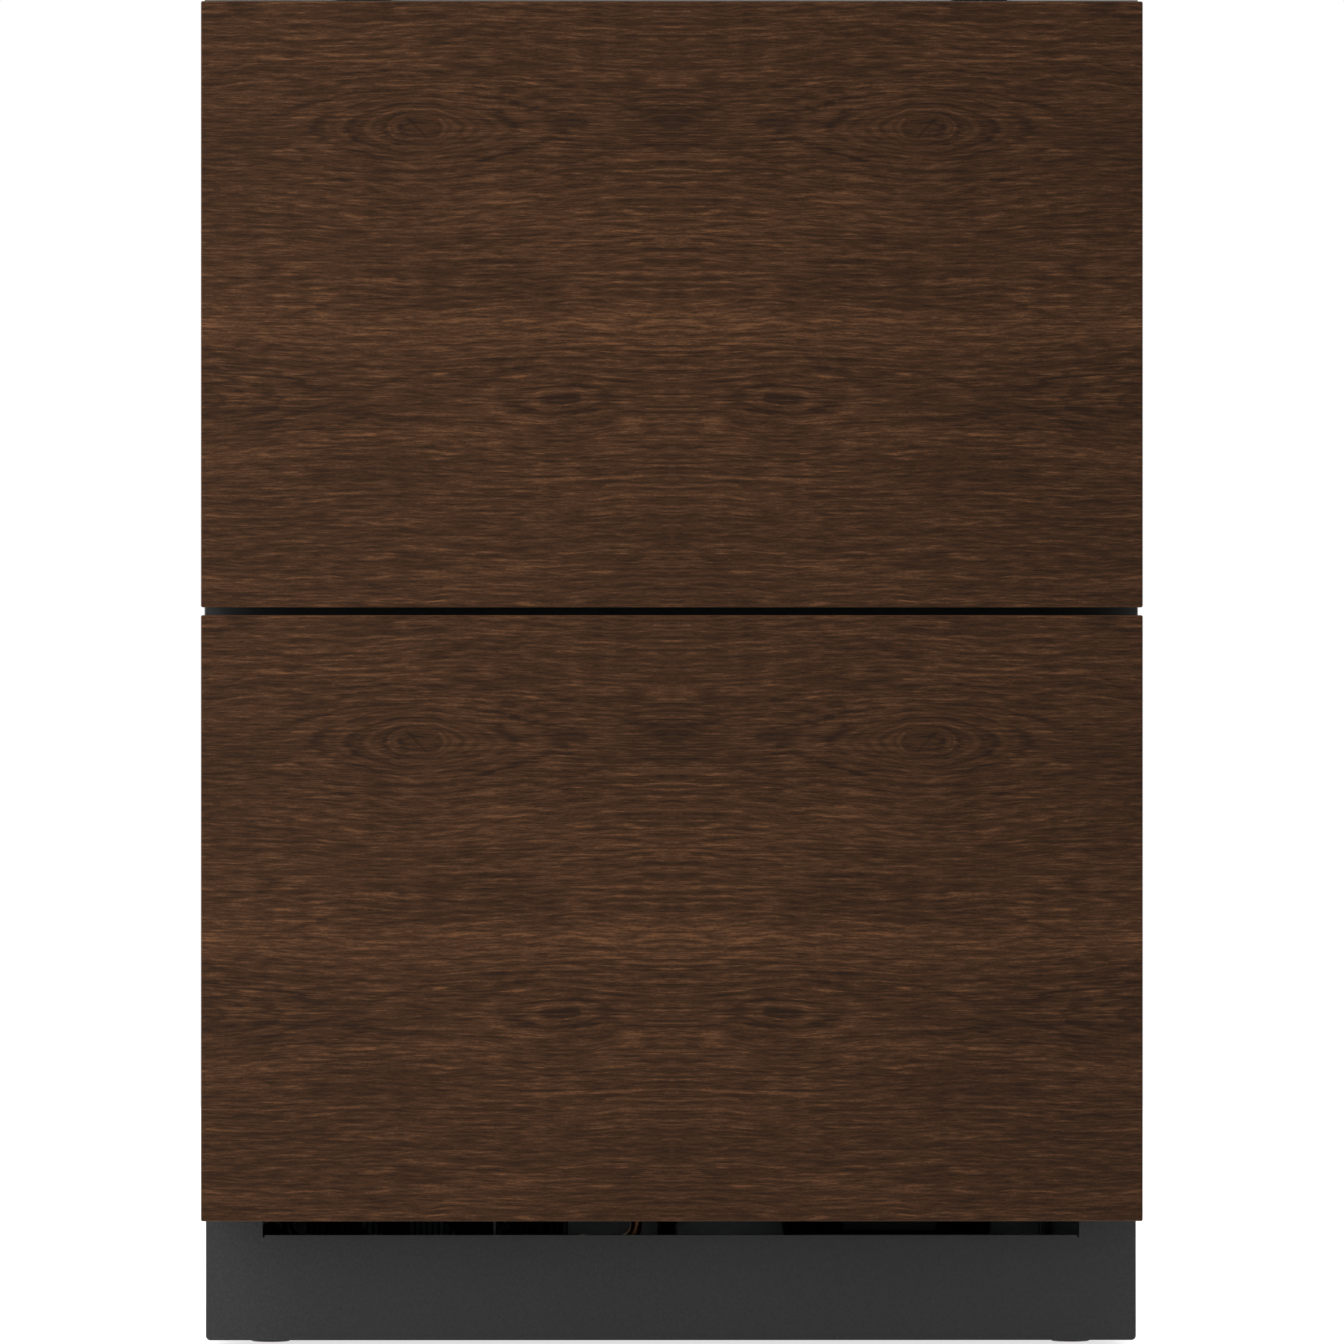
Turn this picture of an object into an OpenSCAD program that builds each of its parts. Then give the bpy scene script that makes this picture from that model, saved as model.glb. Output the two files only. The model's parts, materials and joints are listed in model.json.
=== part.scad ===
// Undercounter drawer refrigerator with overlay-panel fronts.
// Millimetres. The origin is on the floor at the middle of the footprint, +Z is up,
// and both drawers open towards -Y.

/* [Overall] */
// Width across the case and the wood panels
overall_w = 606; // [590:1:630]
// Height from the floor to the top of the counter brackets, legs screwed in
overall_h = 876.3; // [866:0.1:896]
// Depth from the faces of the wood panels to the heads of the rear screws
overall_d = 610; // [600:1:640]

/* [Fronts] */
// Height of the lower panel's bottom edge above the floor
toe_h = 85; // [80:1:90]
// Gap between the two wood panels
panel_gap = 5; // [3:0.5:8]
// Distance from the upper panel's top edge up to the case's top
top_reveal = 4.8; // [3:0.1:8]
// Thickness of the wood overlay panels
panel_t = 19; // [16:1:22]
// Thickness of the insulated drawer fronts behind the panels
front_t = 40; // [34:1:46]
// How far the steel drawer front stays inside the wood panel's edges, above and below
front_inset = 2; // [1:0.5:3]
// Thickness of the steel pans on the drawer fronts
skin_t = 1; // [0.8:0.1:1.5]
// Thickness of the drawer fronts' inner liners
front_liner_t = 2; // [1.5:0.1:3]
// Thickness of the closed gasket
gasket_t = 9.7; // [8:0.1:12]
// Width of the gasket's foot
gasket_w = 12; // [10:0.5:13]
// Distance from the edge of an opening to the gasket's inner edge
gasket_margin = 3; // [2:0.5:3]

/* [Case] */
// Thickness of the outer steel sheets
case_t = 1; // [0.8:0.1:1.5]
// Thickness of the insulated walls with both their sheets
wall_t = 38; // [34:1:42]
// Thickness of the inner liner
liner_t = 0.8; // [0.6:0.1:1.2]
// Thickness of the face frame that the gaskets close on
frame_t = 1.2; // [1:0.1:2]
// Height of the bar between the two compartments
mullion_h = 44; // [42:1:50]
// Depth of that bar behind the face frame
mullion_d = 50; // [40:1:60]
// Sheet thickness of that bar
mullion_t = 1.2; // [1:0.1:2]
// Height of the insulated box's underside above the lower panel's bottom edge
case_lift = 12; // [11:1:16]
// Depth of the machine compartment at the rear
machine_d = 218; // [212:1:230]
// Height of the machine compartment's ceiling above the floor
machine_top = 290; // [284:1:300]
// Height of the turned-down flange at the rear of that ceiling
machine_flange_h = 12; // [10:1:16]
// Thickness of the counter brackets on the case's top
bracket_t = 1.5; // [1:0.1:2.5]
// Width of a counter bracket
bracket_w = 36; // [28:1:44]
// Length of a counter bracket, front to back
bracket_l = 56; // [48:1:64]
// How far a counter bracket lies on the case's top
bracket_lap = 30; // [24:1:32]
// Distance between the two counter screw holes
bracket_spacing = 400; // [360:5:440]
// Radius of a counter screw hole
bracket_hole_r = 2.75; // [2.2:0.05:3.2]

/* [Base] */
// Height of the base pan's underside above the floor
base_z = 16; // [14:0.5:20]
// Sheet thickness of the base pan
base_t = 1.5; // [1.2:0.1:2]
// Height of the base pan's side flanges
base_flange_h = 40; // [30:1:50]
// Height of the base pan's front and rear flanges
base_lip_h = 26; // [22:1:32]
// Height of the kick plate's lower edge above the floor
kick_bottom = 3; // [2:0.5:6]
// Distance from the wood panels' faces back to the kick plate's face
kick_setback = 98; // [90:1:110]
// Sheet thickness of the kick plate
kick_t = 1.2; // [1:0.1:1.6]
// Depth of the kick plate's folded edges
kick_fold = 14; // [10:1:15]
// Radius of the kick plate's lower corners
kick_corner_r = 3; // [2:0.5:6]
// Width of the air slot in the kick plate
slot_w = 532; // [480:1:550]
// Height of the air slot's lower edge above the floor
slot_z = 71.5; // [70:0.5:76]
// Height of the air slot
slot_h = 18; // [12:0.5:18]
// Depth of the lip along the air slot's lower edge
slot_lip = 6; // [4:0.5:10]
// Radius of a levelling leg's threaded stem
leg_r = 5; // [4:0.5:6]
// Radius of a levelling leg's pad
pad_r = 13.5; // [11:0.5:16]
// Height of a levelling leg's pad
pad_h = 7; // [5:0.5:8]
// Length of stem above the base pan's underside, legs screwed in
leg_stem_l = 50; // [44:1:56]
// Height of the threaded socket for a leg
socket_h = 14; // [10:1:18]
// Wall of the threaded socket
socket_t = 4; // [3:0.5:6]
// Distance from the case's side to a leg's axis
leg_inset_x = 41; // [34:1:50]
// Distance from the base pan's ends to a leg's axis
leg_inset_y = 28; // [24:1:40]

/* [Drawers] */
// Sheet thickness of the drawer boxes
box_t = 0.9; // [0.8:0.1:1.2]
// Free width at each side of a drawer box for its rail
rail_space = 14; // [13.5:0.5:16]
// Clearance under a drawer box
box_under = 10; // [8:1:14]
// Free height over the upper drawer box
upper_headroom = 62; // [56:1:80]
// Free height over the lower drawer box
lower_headroom = 20; // [14:1:30]
// Gap between a drawer box's rear and the evaporator cover
box_rear_gap = 15; // [13:1:22]
// Width of the turned-out rim around a drawer box
rim_w = 5; // [4:0.5:6]
// Depth of that rim's turned-down edge
rim_h = 6; // [4:0.5:8]
// Free length behind the telescopic rails
rail_rear_gap = 17.8; // [15:0.1:40]
// Height of the upper rails' centre line above the upper box's bottom
upper_rail_up = 130; // [90:1:150]
// Height of the lower rails' centre line below the lower box's top
lower_rail_down = 40; // [36:1:50]
// Height of the rails fixed to the case
rail_h = 45; // [43:1:48]
// Sheet thickness of the rails
rail_t = 1.2; // [1:0.1:1.4]
// Radius of the bearing balls
ball_r = 2; // [1.6:0.1:2.2]
// Running clearance of the bearing balls
ball_clear = 0.2; // [0.1:0.05:0.3]
// Number of bearing balls in a row
ball_count = 4; // [2:1:6]
// Thickness of a divider plate
divider_t = 1.5; // [1:0.1:2.5]
// Height of a divider plate above a drawer box's bottom, as a share of the box's depth
divider_share = 1; // [0.8:0.05:1]

/* [Cold parts] */
// Depth of the evaporator space behind its cover
evap_d = 60; // [58:1:70]
// Thickness of the evaporator cover
evap_cover_t = 1.2; // [1:0.1:2]
// Radius of the fan opening in the evaporator cover
evap_opening_r = 52; // [50:1:60]
// Radius of the evaporator fan's blades
evap_fan_r = 46; // [40:1:48]
// Height of the evaporator fan's axis above the floor
evap_fan_z = 700; // [680:5:730]
// Number of fins on the evaporator
evap_fins = 20; // [12:1:24]
// Width of the evaporator's fin pack as a share of the inner width
evap_share = 0.68; // [0.6:0.01:0.72]
// Half width of the control housing
control_x = 105; // [100:1:130]
// Depth of the control housing
control_d = 76; // [64:1:90]
// Height of the control housing below the ceiling
control_h = 29; // [27:1:32]
// Wall of the control housing
control_t = 2; // [1.5:0.1:2.5]
// Radius of a control button
button_r = 4.8; // [4:0.1:5.5]
// Distance between the control buttons
button_pitch = 20; // [16:1:24]
// Travel of a control button
button_travel = 1.2; // [0.8:0.1:1.6]

/* [Machine parts] */
// Radius of the compressor's shell
comp_r = 72; // [64:1:74]
// Height of the compressor's shell
comp_h = 150; // [130:1:160]
// Wall of the compressor's shell
comp_wall = 8; // [6:1:12]
// Place of the compressor's axis as a share of the case's half width
comp_share = 0.497; // [0.48:0.001:0.52]
// Width of the condenser's fin pack as a share of the case's width
cond_share = 0.298; // [0.26:0.001:0.31]
// Place of the condenser's middle as a share of the case's half width
cond_place = 0.523; // [0.5:0.001:0.54]
// Number of fins on the condenser
cond_fins = 16; // [10:1:20]
// Radius of the condenser fan's blades
cond_fan_r = 64; // [56:1:66]
// Radius of the refrigerant pipes
pipe_r = 4; // [3:0.1:4.5]
// Radius of the capillary tube
capillary_r = 1.5; // [1:0.1:1.8]
// Radius of the pipes' bends
pipe_bend = 12; // [10:1:12]
// Radius of the bore for the power cord
cord_bore_r = 4; // [3.5:0.1:4.5]

/* [Hidden] */
$fn = 48;

// Small clearances
seat = 0.3;          // between pieces that rest or run close to each other
hole_slack = 0.05;   // radial, between a screw and its hole
liner_slack = 0.1;   // radial, around a pipe in the liner
foam_slack = 0.2;    // radial, around a pipe in the foam
panel_slack = 0.3;   // radial, around a pipe in the back panel
seam = 0.05;         // between the welded sheets of one piece
cut = 1;             // how far a cutting shape passes through a face

// Places front to back
half_w = overall_w / 2;
panel_y = -overall_d / 2;
skin_y = panel_y + panel_t;
front_y = skin_y + front_t;               // rear face of the insulated drawer fronts
case_y = front_y + gasket_t + seat;       // sealing face of the case
inside_y = case_y + frame_t;
screw_head_h = 2;
case_back_y = overall_d / 2 - screw_head_h;
machine_y = case_back_y - machine_d;
liner_back_y = case_back_y - wall_t;
hump_y = machine_y - wall_t;
evap_cover_y = liner_back_y - evap_d;
box_rear_y = evap_cover_y - box_rear_gap;
kick_y = panel_y + kick_setback;
toe_y = kick_y + kick_t;
grille_t = 1.2;
gland_wall = 3;
grille_y = case_back_y - grille_t;

// Heights
case_top_z = overall_h - bracket_t;
panel_h = (case_top_z - top_reveal - toe_h - panel_gap) / 2;
upper_panel_z = toe_h + panel_h + panel_gap;
case_floor_z = toe_h + case_lift;
liner_floor_z = case_floor_z + wall_t;
liner_top_z = case_top_z - wall_t;
hump_top_z = machine_top + wall_t;
mullion_z = toe_h + panel_h + panel_gap / 2;
lower_open_z = [liner_floor_z, mullion_z - mullion_h / 2];
upper_open_z = [mullion_z + mullion_h / 2, liner_top_z];
base_top_z = base_z + base_t;

// Widths, each the half width at one side
shell_x = half_w - case_t;                // inner face of the case's sides
liner_x = half_w - wall_t;                // inner face of the liner
box_x = liner_x - rail_space;             // outer face of the drawer boxes
front_x = half_w - 1;                     // side of the steel drawer fronts

// Base
base_front_y = toe_y + kick_fold + 2;
leg_x = half_w - leg_inset_x;
leg_front_y = base_front_y + leg_inset_y;
leg_rear_y = grille_y - leg_inset_y;

// Drawer boxes
upper_box_z = [upper_open_z[0] + box_under, upper_open_z[1] - upper_headroom];
lower_box_z = [lower_open_z[0] + box_under, lower_open_z[1] - lower_headroom];
step_y = hump_y - box_under;
step_z = hump_top_z + box_under;
rail_front_gap = 6;
rail_y = inside_y + rail_front_gap;
rail_l = evap_cover_y - rail_rear_gap - rail_y;
rail_screw_inset = 40;
upper_rail_z = upper_box_z[0] + upper_rail_up;
lower_rail_z = lower_box_z[1] - lower_rail_down;
rail_screw_y = [rail_y + rail_screw_inset, rail_y + rail_l / 2, rail_y + rail_l - rail_screw_inset];
upper_divider_y = -30;
lower_divider_y = -100;

// Rail sections, from the case inwards
web_gap = 0.8;
flange_gap = 1.2;
fixed_web_x = liner_x - rail_t;
middle_web_x = fixed_web_x - web_gap - rail_t;
raceway = 2 * (ball_r + ball_clear);
fixed_flange_z = rail_h / 2;
middle_flange_z = fixed_flange_z - rail_t - raceway;
drawer_flange_z = middle_flange_z - rail_t - raceway;
flange_in_x = box_x + rail_t + flange_gap;
ball_x = (flange_in_x + middle_web_x) / 2;

// Fasteners
screw_r = 2;
screw_head_r = 3.8;
sink_d = 1.8;
screw_l = 9;
fix_r = 1.5;
fix_l = 7;
fix_head_r = 3.5;
panel_bite = 12;
front_screw_x = liner_x + gasket_margin + gasket_w / 2;
front_screw_inset = 45;
front_screw_z = [front_screw_inset, panel_h / 2, panel_h - front_screw_inset];
box_screw_x = 150;
box_screw_z = 30;
box_screw_l = 12;
box_screw_head_r = 3.8;
box_screw_head_h = 2;

// Cold parts
evap_w = evap_share * 2 * liner_x;
evap_tube_r = 4;
evap_rows = 8;
evap_row_pitch = 24;
evap_lift = 50;
evap_setback = 30;
evap_fin_over = 12;
evap_fin_t = 0.8;
coil_tail = 8;
coil_edge = 1.2;
end_plate_t = 1.8;
evap_z0 = hump_top_z + evap_lift;
evap_top_z = evap_z0 + (evap_rows - 1) * evap_row_pitch;
evap_y = evap_cover_y + evap_cover_t + evap_setback;
evap_fin_half = 22;
evap_fin_y = [evap_y - evap_fin_half, evap_y + evap_fin_half];
cover_screw_inset = 10;
cover_screw_low = 40;
cover_screw_high = 60;
cover_screw_z = [hump_top_z + cover_screw_low, liner_top_z - cover_screw_high];
control_setback = 10;
control_y = case_y + control_setback;
control_z = liner_top_z - control_h;
button_z = control_z + control_h / 2 + 1;
button_x0 = 30;
display_x = [-34, 10];
display_half_h = 8;
lens_half = [80, 6];
lens_setback = 38;
lens_y = control_y + lens_setback;

// Machine parts
comp_x = comp_share * shell_x;
comp_forward = 3;
comp_y = (machine_y + grille_y) / 2 - comp_forward;
comp_lift = 18;
ear_lift = 8;
comp_z = base_top_z + comp_lift;
ear_z = base_top_z + ear_lift;
ear_t = 3;
ear_dx = 80;
ear_dy = 58;
ear_pad = 14;
stub_l = 14;
discharge_z = comp_z + comp_h - 40;
suction_stub_out = 25;
suction_stub_x = comp_x + suction_stub_out;
grommet_r = 8;
cond_setback = 40;
cond_w = cond_share * 2 * shell_x;
cond_x = -cond_place * shell_x;
cond_y = machine_y + cond_setback;
cond_d = 50;
cond_rows = 6;
cond_row_pitch = 24;
cond_lift = 34;
cond_fin_over = 14;
cond_fin_t = 1;
cond_z0 = base_top_z + cond_lift;
cond_high_z = cond_z0 + (cond_rows - 1) * cond_row_pitch;
cond_top_z = cond_high_z + cond_fin_over;
shroud_y = cond_y + cond_d / 2 + seat;
shroud_t = 2;
cond_fan_up = 4;
cond_fan_z = (base_top_z + cond_top_z) / 2 + cond_fan_up;
collar_l = 28;
fan_gap = 3;
suction_out = 40;
capillary_gap = 13;
suction_x = suction_stub_x + suction_out;
capillary_x = suction_x + capillary_gap;
passage_y = evap_y;
drain_clear = 8;
drain_setback = 40;
coil_clear = 20;
drain_span = [cond_x + cond_w / 2 + coil_clear, comp_x - ear_dx - ear_pad - drain_clear];
drain_x = (drain_span[0] + drain_span[1]) / 2;
drain_half = (drain_span[1] - drain_span[0]) / 2;
drain_y = comp_y + drain_setback;
drain_r = 7;
drain_wall = 1.5;
cord_inset = 28;
cord_lift = 32;
cord_x = -shell_x + cord_inset;
cord_z = base_top_z + cord_lift;

// ---- Helpers ----

// A block between two opposite corners
module block(a, b) { translate(a) cube([b[0] - a[0], b[1] - a[1], b[2] - a[2]]); }

// A block that is centred on the middle plane: half width, then y and z spans
module mid_block(hx, y, z) { block([-hx, y[0], z[0]], [hx, y[1], z[1]]); }

// The children and their mirror image at the other side
module both_sides() { children(); mirror([1, 0, 0]) children(); }

// A profile drawn as (y, z), extruded across the width
module across(w) { rotate([90, 0, 90]) linear_extrude(height = w, center = true) children(); }

// A cylinder along +Y from the point p
module y_rod(p, r, l) { translate(p) rotate([-90, 0, 0]) cylinder(h = l, r = r); }

// A cylinder along X, outwards from the middle plane on the +X side
module x_rod(p, r, l) { translate(p) rotate([0, 90, 0]) cylinder(h = l, r = r); }

function unit(v) = v / norm(v);

// A round pipe along axis-aligned points, with bends of radius pipe_bend
module pipe(points, r) {
    last = len(points) - 1;
    for (i = [0 : last - 1]) {
        d = unit(points[i + 1] - points[i]);
        a = points[i] + (i == 0 ? 0 : pipe_bend) * d;
        b = points[i + 1] - (i == last - 1 ? 0 : pipe_bend) * d;
        tilt = abs(d[0]) > 0.5 ? [0, 90, 0] : abs(d[1]) > 0.5 ? [-90, 0, 0] : [0, 0, 0];
        low = [min(a[0], b[0]), min(a[1], b[1]), min(a[2], b[2])];
        translate(low) rotate(tilt) cylinder(h = norm(b - a), r = r);
    }
    for (i = [1 : 1 : last - 1]) {
        u = unit(points[i] - points[i - 1]);
        v = unit(points[i + 1] - points[i]);
        w = cross(u, v);
        c = points[i] + pipe_bend * (v - u);
        multmatrix([
            [-v[0], u[0], w[0], c[0]],
            [-v[1], u[1], w[1], c[1]],
            [-v[2], u[2], w[2], c[2]],
            [0, 0, 0, 1]
        ]) rotate_extrude(angle = 90) translate([pipe_bend, 0]) circle(r = r);
    }
}

// The inside of the cabinet as (y, z), grown by e into the walls
module cavity(e) {
    polygon([
        [inside_y, liner_floor_z - e], [hump_y + e, liner_floor_z - e],
        [hump_y + e, hump_top_z - e], [liner_back_y + e, hump_top_z - e],
        [liner_back_y + e, liner_top_z + e], [inside_y, liner_top_z + e]
    ]);
}

// The insulated box's outside as (y, z), taken in by e from the stepped sheet
module insulated(e) {
    polygon([
        [inside_y, case_floor_z + e], [machine_y - e, case_floor_z + e],
        [machine_y - e, machine_top + e], [case_back_y - e, machine_top + e],
        [case_back_y - e, case_top_z - case_t], [inside_y, case_top_z - case_t]
    ]);
}

// A countersunk screw that points to +X, with its flat head's rim at the origin
module sunk_screw(slack) {
    rotate([0, 90, 0]) {
        cylinder(h = sink_d, r1 = screw_head_r + slack, r2 = screw_r + slack);
        cylinder(h = screw_l + slack, r = screw_r + slack);
    }
}

// The countersunk screws of the rails and of the evaporator cover
module liner_screws(slack) {
    both_sides() {
        for (z = [lower_rail_z, upper_rail_z], y = rail_screw_y)
            translate([fixed_web_x, y, z]) sunk_screw(slack);
        for (z = cover_screw_z)
            translate([liner_x - evap_cover_t, evap_cover_y + cover_screw_inset, z]) sunk_screw(slack);
    }
}

// Places of the rear cover's screws as [x, z]
rear_screw_inset = 60;
rear_screws = [
    for (x = [-shell_x + rear_screw_inset, 0, shell_x - rear_screw_inset])
        for (z = [base_z + base_lip_h / 2, machine_top - machine_flange_h / 2]) [x, z]
];

// The passages of the pipes and the drain through the hump
module hump_passages(slack) {
    for (p = [[suction_x, pipe_r + 1], [capillary_x, capillary_r + 1]])
        translate([p[0], passage_y, machine_top - cut])
            cylinder(h = hump_top_z - machine_top + 2 * cut, r = p[1] + slack);
    translate([drain_x, drain_y, machine_top - cut])
        cylinder(h = hump_top_z - machine_top + 2 * cut, r = drain_r + slack);
}

// ---- Case ----

module outer_case() {
    color("silver") difference() {
        across(overall_w) polygon([
            [case_y, case_floor_z], [toe_y, case_floor_z], [toe_y, base_z],
            [case_back_y, base_z], [case_back_y, case_top_z], [case_y, case_top_z]
        ]);
        mid_block(shell_x, [case_y - cut, case_back_y + cut], [base_z - cut, case_top_z - case_t]);
    }
}

module back_panel() {
    color("gainsboro") {
        difference() {
            across(2 * shell_x) insulated(0);
            across(2 * shell_x + 2 * cut) insulated(case_t);
            hump_passages(panel_slack);
        }
        difference() {
            mid_block(shell_x, [grille_y - case_t, grille_y], [machine_top - machine_flange_h, machine_top]);
            for (s = rear_screws) y_rod([s[0], grille_y - 2 * case_t, s[1]], fix_r + hole_slack, 3 * case_t);
        }
    }
}

module cabinet_foam() {
    color("khaki") {
        difference() {
            across(2 * shell_x) insulated(case_t);
            across(2 * (liner_x + liner_t)) cavity(liner_t);
            liner_screws(hole_slack);
            hump_passages(foam_slack);
        }
        mid_block(
            liner_x, [inside_y + mullion_t, inside_y + mullion_d - mullion_t],
            [lower_open_z[1] + mullion_t, upper_open_z[0] - mullion_t]
        );
    }
}

// Welded from plain sheets along its seams
module inner_liner() {
    step_seam_y = hump_y + liner_t;
    color("lightgray") difference() {
        across(2 * (liner_x + liner_t)) cavity(liner_t);
        across(2 * liner_x) cavity(0);
        mid_block(liner_x, [inside_y - cut, inside_y + cut], [liner_floor_z, liner_top_z]);
        liner_screws(hole_slack);
        hump_passages(liner_slack);
        both_sides() {
            block(
                [liner_x - seam, inside_y - cut, liner_floor_z - cut],
                [liner_x, liner_back_y + cut, liner_top_z + cut]
            );
            block(
                [liner_x - seam, step_seam_y, hump_top_z - cut],
                [liner_x + cut, step_seam_y + seam, liner_top_z + cut]
            );
        }
        for (z = [liner_floor_z, hump_top_z - liner_t - seam])
            mid_block(liner_x, [hump_y - cut, hump_y + cut], [z, z + seam]);
        for (z = [hump_top_z, liner_top_z - seam])
            mid_block(liner_x, [liner_back_y - cut, liner_back_y + cut], [z, z + seam]);
    }
}

module face_frame() {
    color("silver") difference() {
        mid_block(shell_x, [case_y, inside_y], [case_floor_z, case_top_z - case_t]);
        for (z = [lower_open_z, upper_open_z]) mid_block(liner_x, [case_y - cut, inside_y + cut], z);
    }
}

module mullion() {
    color("lightgray") difference() {
        mid_block(liner_x, [inside_y, inside_y + mullion_d], [lower_open_z[1], upper_open_z[0]]);
        mid_block(
            liner_x + cut, [inside_y + mullion_t, inside_y + mullion_d - mullion_t],
            [lower_open_z[1] + mullion_t, upper_open_z[0] - mullion_t]
        );
    }
}

// Two welded tabs that take screws up into the counter
module counter_brackets() {
    hole_inset = 10;
    y = case_y + bracket_lap - bracket_l;
    color("silver") both_sides() translate([bracket_spacing / 2, y, case_top_z]) difference() {
        translate([-bracket_w / 2, 0, 0]) cube([bracket_w, bracket_l, bracket_t]);
        translate([0, hole_inset, -cut]) cylinder(h = bracket_t + 2 * cut, r = bracket_hole_r);
    }
}

// ---- Base ----

module leg_places() {
    for (x = [-leg_x, leg_x], y = [leg_front_y, leg_rear_y]) translate([x, y, 0]) children();
}

// Its flanges, baffle and sockets are welded on along their seams
module base_pan() {
    baffle_offset = 42;
    baffle_x = cond_x + baffle_offset;
    color("darkgray") difference() {
        union() {
            mid_block(shell_x, [base_front_y, grille_y], [base_z, base_top_z]);
            mid_block(shell_x, [base_front_y, base_front_y + base_t], [base_z, base_z + base_lip_h]);
            mid_block(shell_x, [grille_y - base_t, grille_y], [base_z, base_z + base_lip_h]);
            both_sides() block(
                [shell_x - base_t, base_front_y, base_z], [shell_x, grille_y, base_z + base_flange_h]
            );
            block([baffle_x, base_front_y, base_z], [baffle_x + base_t, machine_y, case_floor_z]);
            leg_places() translate([0, 0, base_z]) cylinder(h = base_t + socket_h, r = leg_r + socket_t);
        }
        leg_places() translate([0, 0, base_z - cut])
            cylinder(h = base_t + socket_h + 2 * cut, r = leg_r + hole_slack);
        for (s = rear_screws) y_rod([s[0], grille_y - 2 * base_t, s[1]], fix_r + hole_slack, 3 * base_t);
        mid_block(half_w, [base_front_y - cut, case_back_y], [base_top_z, base_top_z + seam]);
        both_sides() block(
            [shell_x - base_t - seam, base_front_y - cut, base_top_z],
            [shell_x - base_t, case_back_y, base_z + base_flange_h + cut]
        );
        block(
            [baffle_x - cut, base_front_y + base_t, base_top_z],
            [baffle_x + base_t + cut, base_front_y + base_t + seam, case_floor_z + cut]
        );
    }
}

// Levelling leg: a pad, a hexagon for the spanner and a threaded stem
module leg(x, y) {
    hex_w = 3;
    color("dimgray") translate([x, y, 0]) {
        cylinder(h = pad_h - 1, r = pad_r);
        translate([0, 0, pad_h - 1]) cylinder(h = 1, r1 = pad_r, r2 = pad_r - 1);
        translate([0, 0, pad_h]) cylinder(h = base_z - seat - pad_h, r = leg_r + hex_w, $fn = 6);
        cylinder(h = base_z + leg_stem_l, r = leg_r);
    }
}

module kick_outline() {
    kick_over = 4;
    w = half_w - kick_corner_r;
    translate([-half_w, kick_bottom + kick_corner_r])
        square([overall_w, slot_z + slot_h + kick_over - kick_bottom - kick_corner_r]);
    translate([-w, kick_bottom]) square([2 * w, 2 * kick_corner_r]);
    for (x = [-w, w]) translate([x, kick_bottom + kick_corner_r]) circle(r = kick_corner_r);
}

// Kick plate with an air slot, a folded lip under it and two hooks over the base pan's front flange
module kick_plate() {
    relief = 1.2;
    relief_h = 1.5;
    hook_x = 180;
    hook_w = 30;
    hook_drop = 10;
    hook_z = base_z + base_lip_h + seat;
    hook_back = base_front_y + base_t + seat;
    color("#3a3a39") {
        translate([0, toe_y, 0]) rotate([90, 0, 0]) linear_extrude(height = kick_t) difference() {
            kick_outline();
            translate([-slot_w / 2, slot_z]) square([slot_w, slot_h]);
            for (x = [-slot_w / 2, slot_w / 2 - relief])
                translate([x, slot_z - relief_h]) square([relief, relief_h + cut]);
        }
        mid_block(slot_w / 2 - relief, [toe_y, toe_y + slot_lip], [slot_z - kick_t, slot_z]);
        mid_block(
            shell_x - 2 * kick_corner_r, [toe_y, toe_y + kick_fold], [kick_bottom, kick_bottom + kick_t]
        );
        both_sides() {
            block(
                [shell_x - seat - kick_t, toe_y, kick_bottom + 2 * kick_corner_r],
                [shell_x - seat, toe_y + kick_fold, slot_z + slot_h]
            );
            block([hook_x, toe_y, hook_z], [hook_x + hook_w, hook_back + kick_t, hook_z + kick_t]);
            block(
                [hook_x, hook_back, hook_z - hook_drop],
                [hook_x + hook_w, hook_back + kick_t, hook_z + kick_t]
            );
        }
    }
}

module louvre(x, z, w, h) {
    translate([x + h / 2, z - h / 2]) square([w - h, h]);
    for (cx = [x + h / 2, x + w - h / 2]) translate([cx, z]) circle(r = h / 2);
}

module rear_grille() {
    slot_rows = 9;
    slot_pitch = 15;
    slot_l = 210;
    slot_gap = 30;
    slot_up = 90;
    slot_h = 5;
    color("darkgray") difference() {
        translate([0, case_back_y, 0]) rotate([90, 0, 0]) linear_extrude(height = grille_t) difference() {
            translate([-shell_x, base_z]) square([2 * shell_x, machine_top - base_z]);
            for (i = [0 : slot_rows - 1], x = [-slot_l - slot_gap, slot_gap])
                louvre(x, base_top_z + slot_up + i * slot_pitch, slot_l, slot_h);
        }
        for (s = rear_screws) y_rod([s[0], grille_y - cut, s[1]], fix_r + hole_slack, 3 * grille_t);
        y_rod([cord_x, grille_y - cut, cord_z], cord_bore_r + gland_wall + hole_slack, 3 * grille_t);
    }
}

module cord_gland() {
    flange_w = 5;
    inside_l = 10;
    color("black") translate([cord_x, 0, cord_z]) difference() {
        union() {
            y_rod([0, case_back_y, 0], cord_bore_r + flange_w, screw_head_h);
            y_rod([0, grille_y - inside_l, 0], cord_bore_r + gland_wall, grille_t + inside_l + cut);
        }
        y_rod([0, grille_y - inside_l - cut, 0], cord_bore_r, grille_t + inside_l + screw_head_h + 2 * cut);
    }
}

module cabinet_screws() {
    color("gray") {
        liner_screws(0);
        for (s = rear_screws) {
            y_rod([s[0], case_back_y, s[1]], fix_head_r, screw_head_h);
            y_rod([s[0], case_back_y - fix_l, s[1]], fix_r, fix_l + cut);
        }
    }
}

// ---- Machine compartment ----

// A cylinder with rounded ends, drawn as half a profile
module rounded_half(r, h, c) {
    square([r - c, h]);
    translate([0, c]) square([r, h - 2 * c]);
    for (z = [c, h - c]) translate([r - c, z]) circle(r = c);
}

module ear_places() {
    for (x = [-ear_dx, ear_dx], y = [-ear_dy, ear_dy]) translate([comp_x + x, comp_y + y, 0]) children();
}

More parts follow.
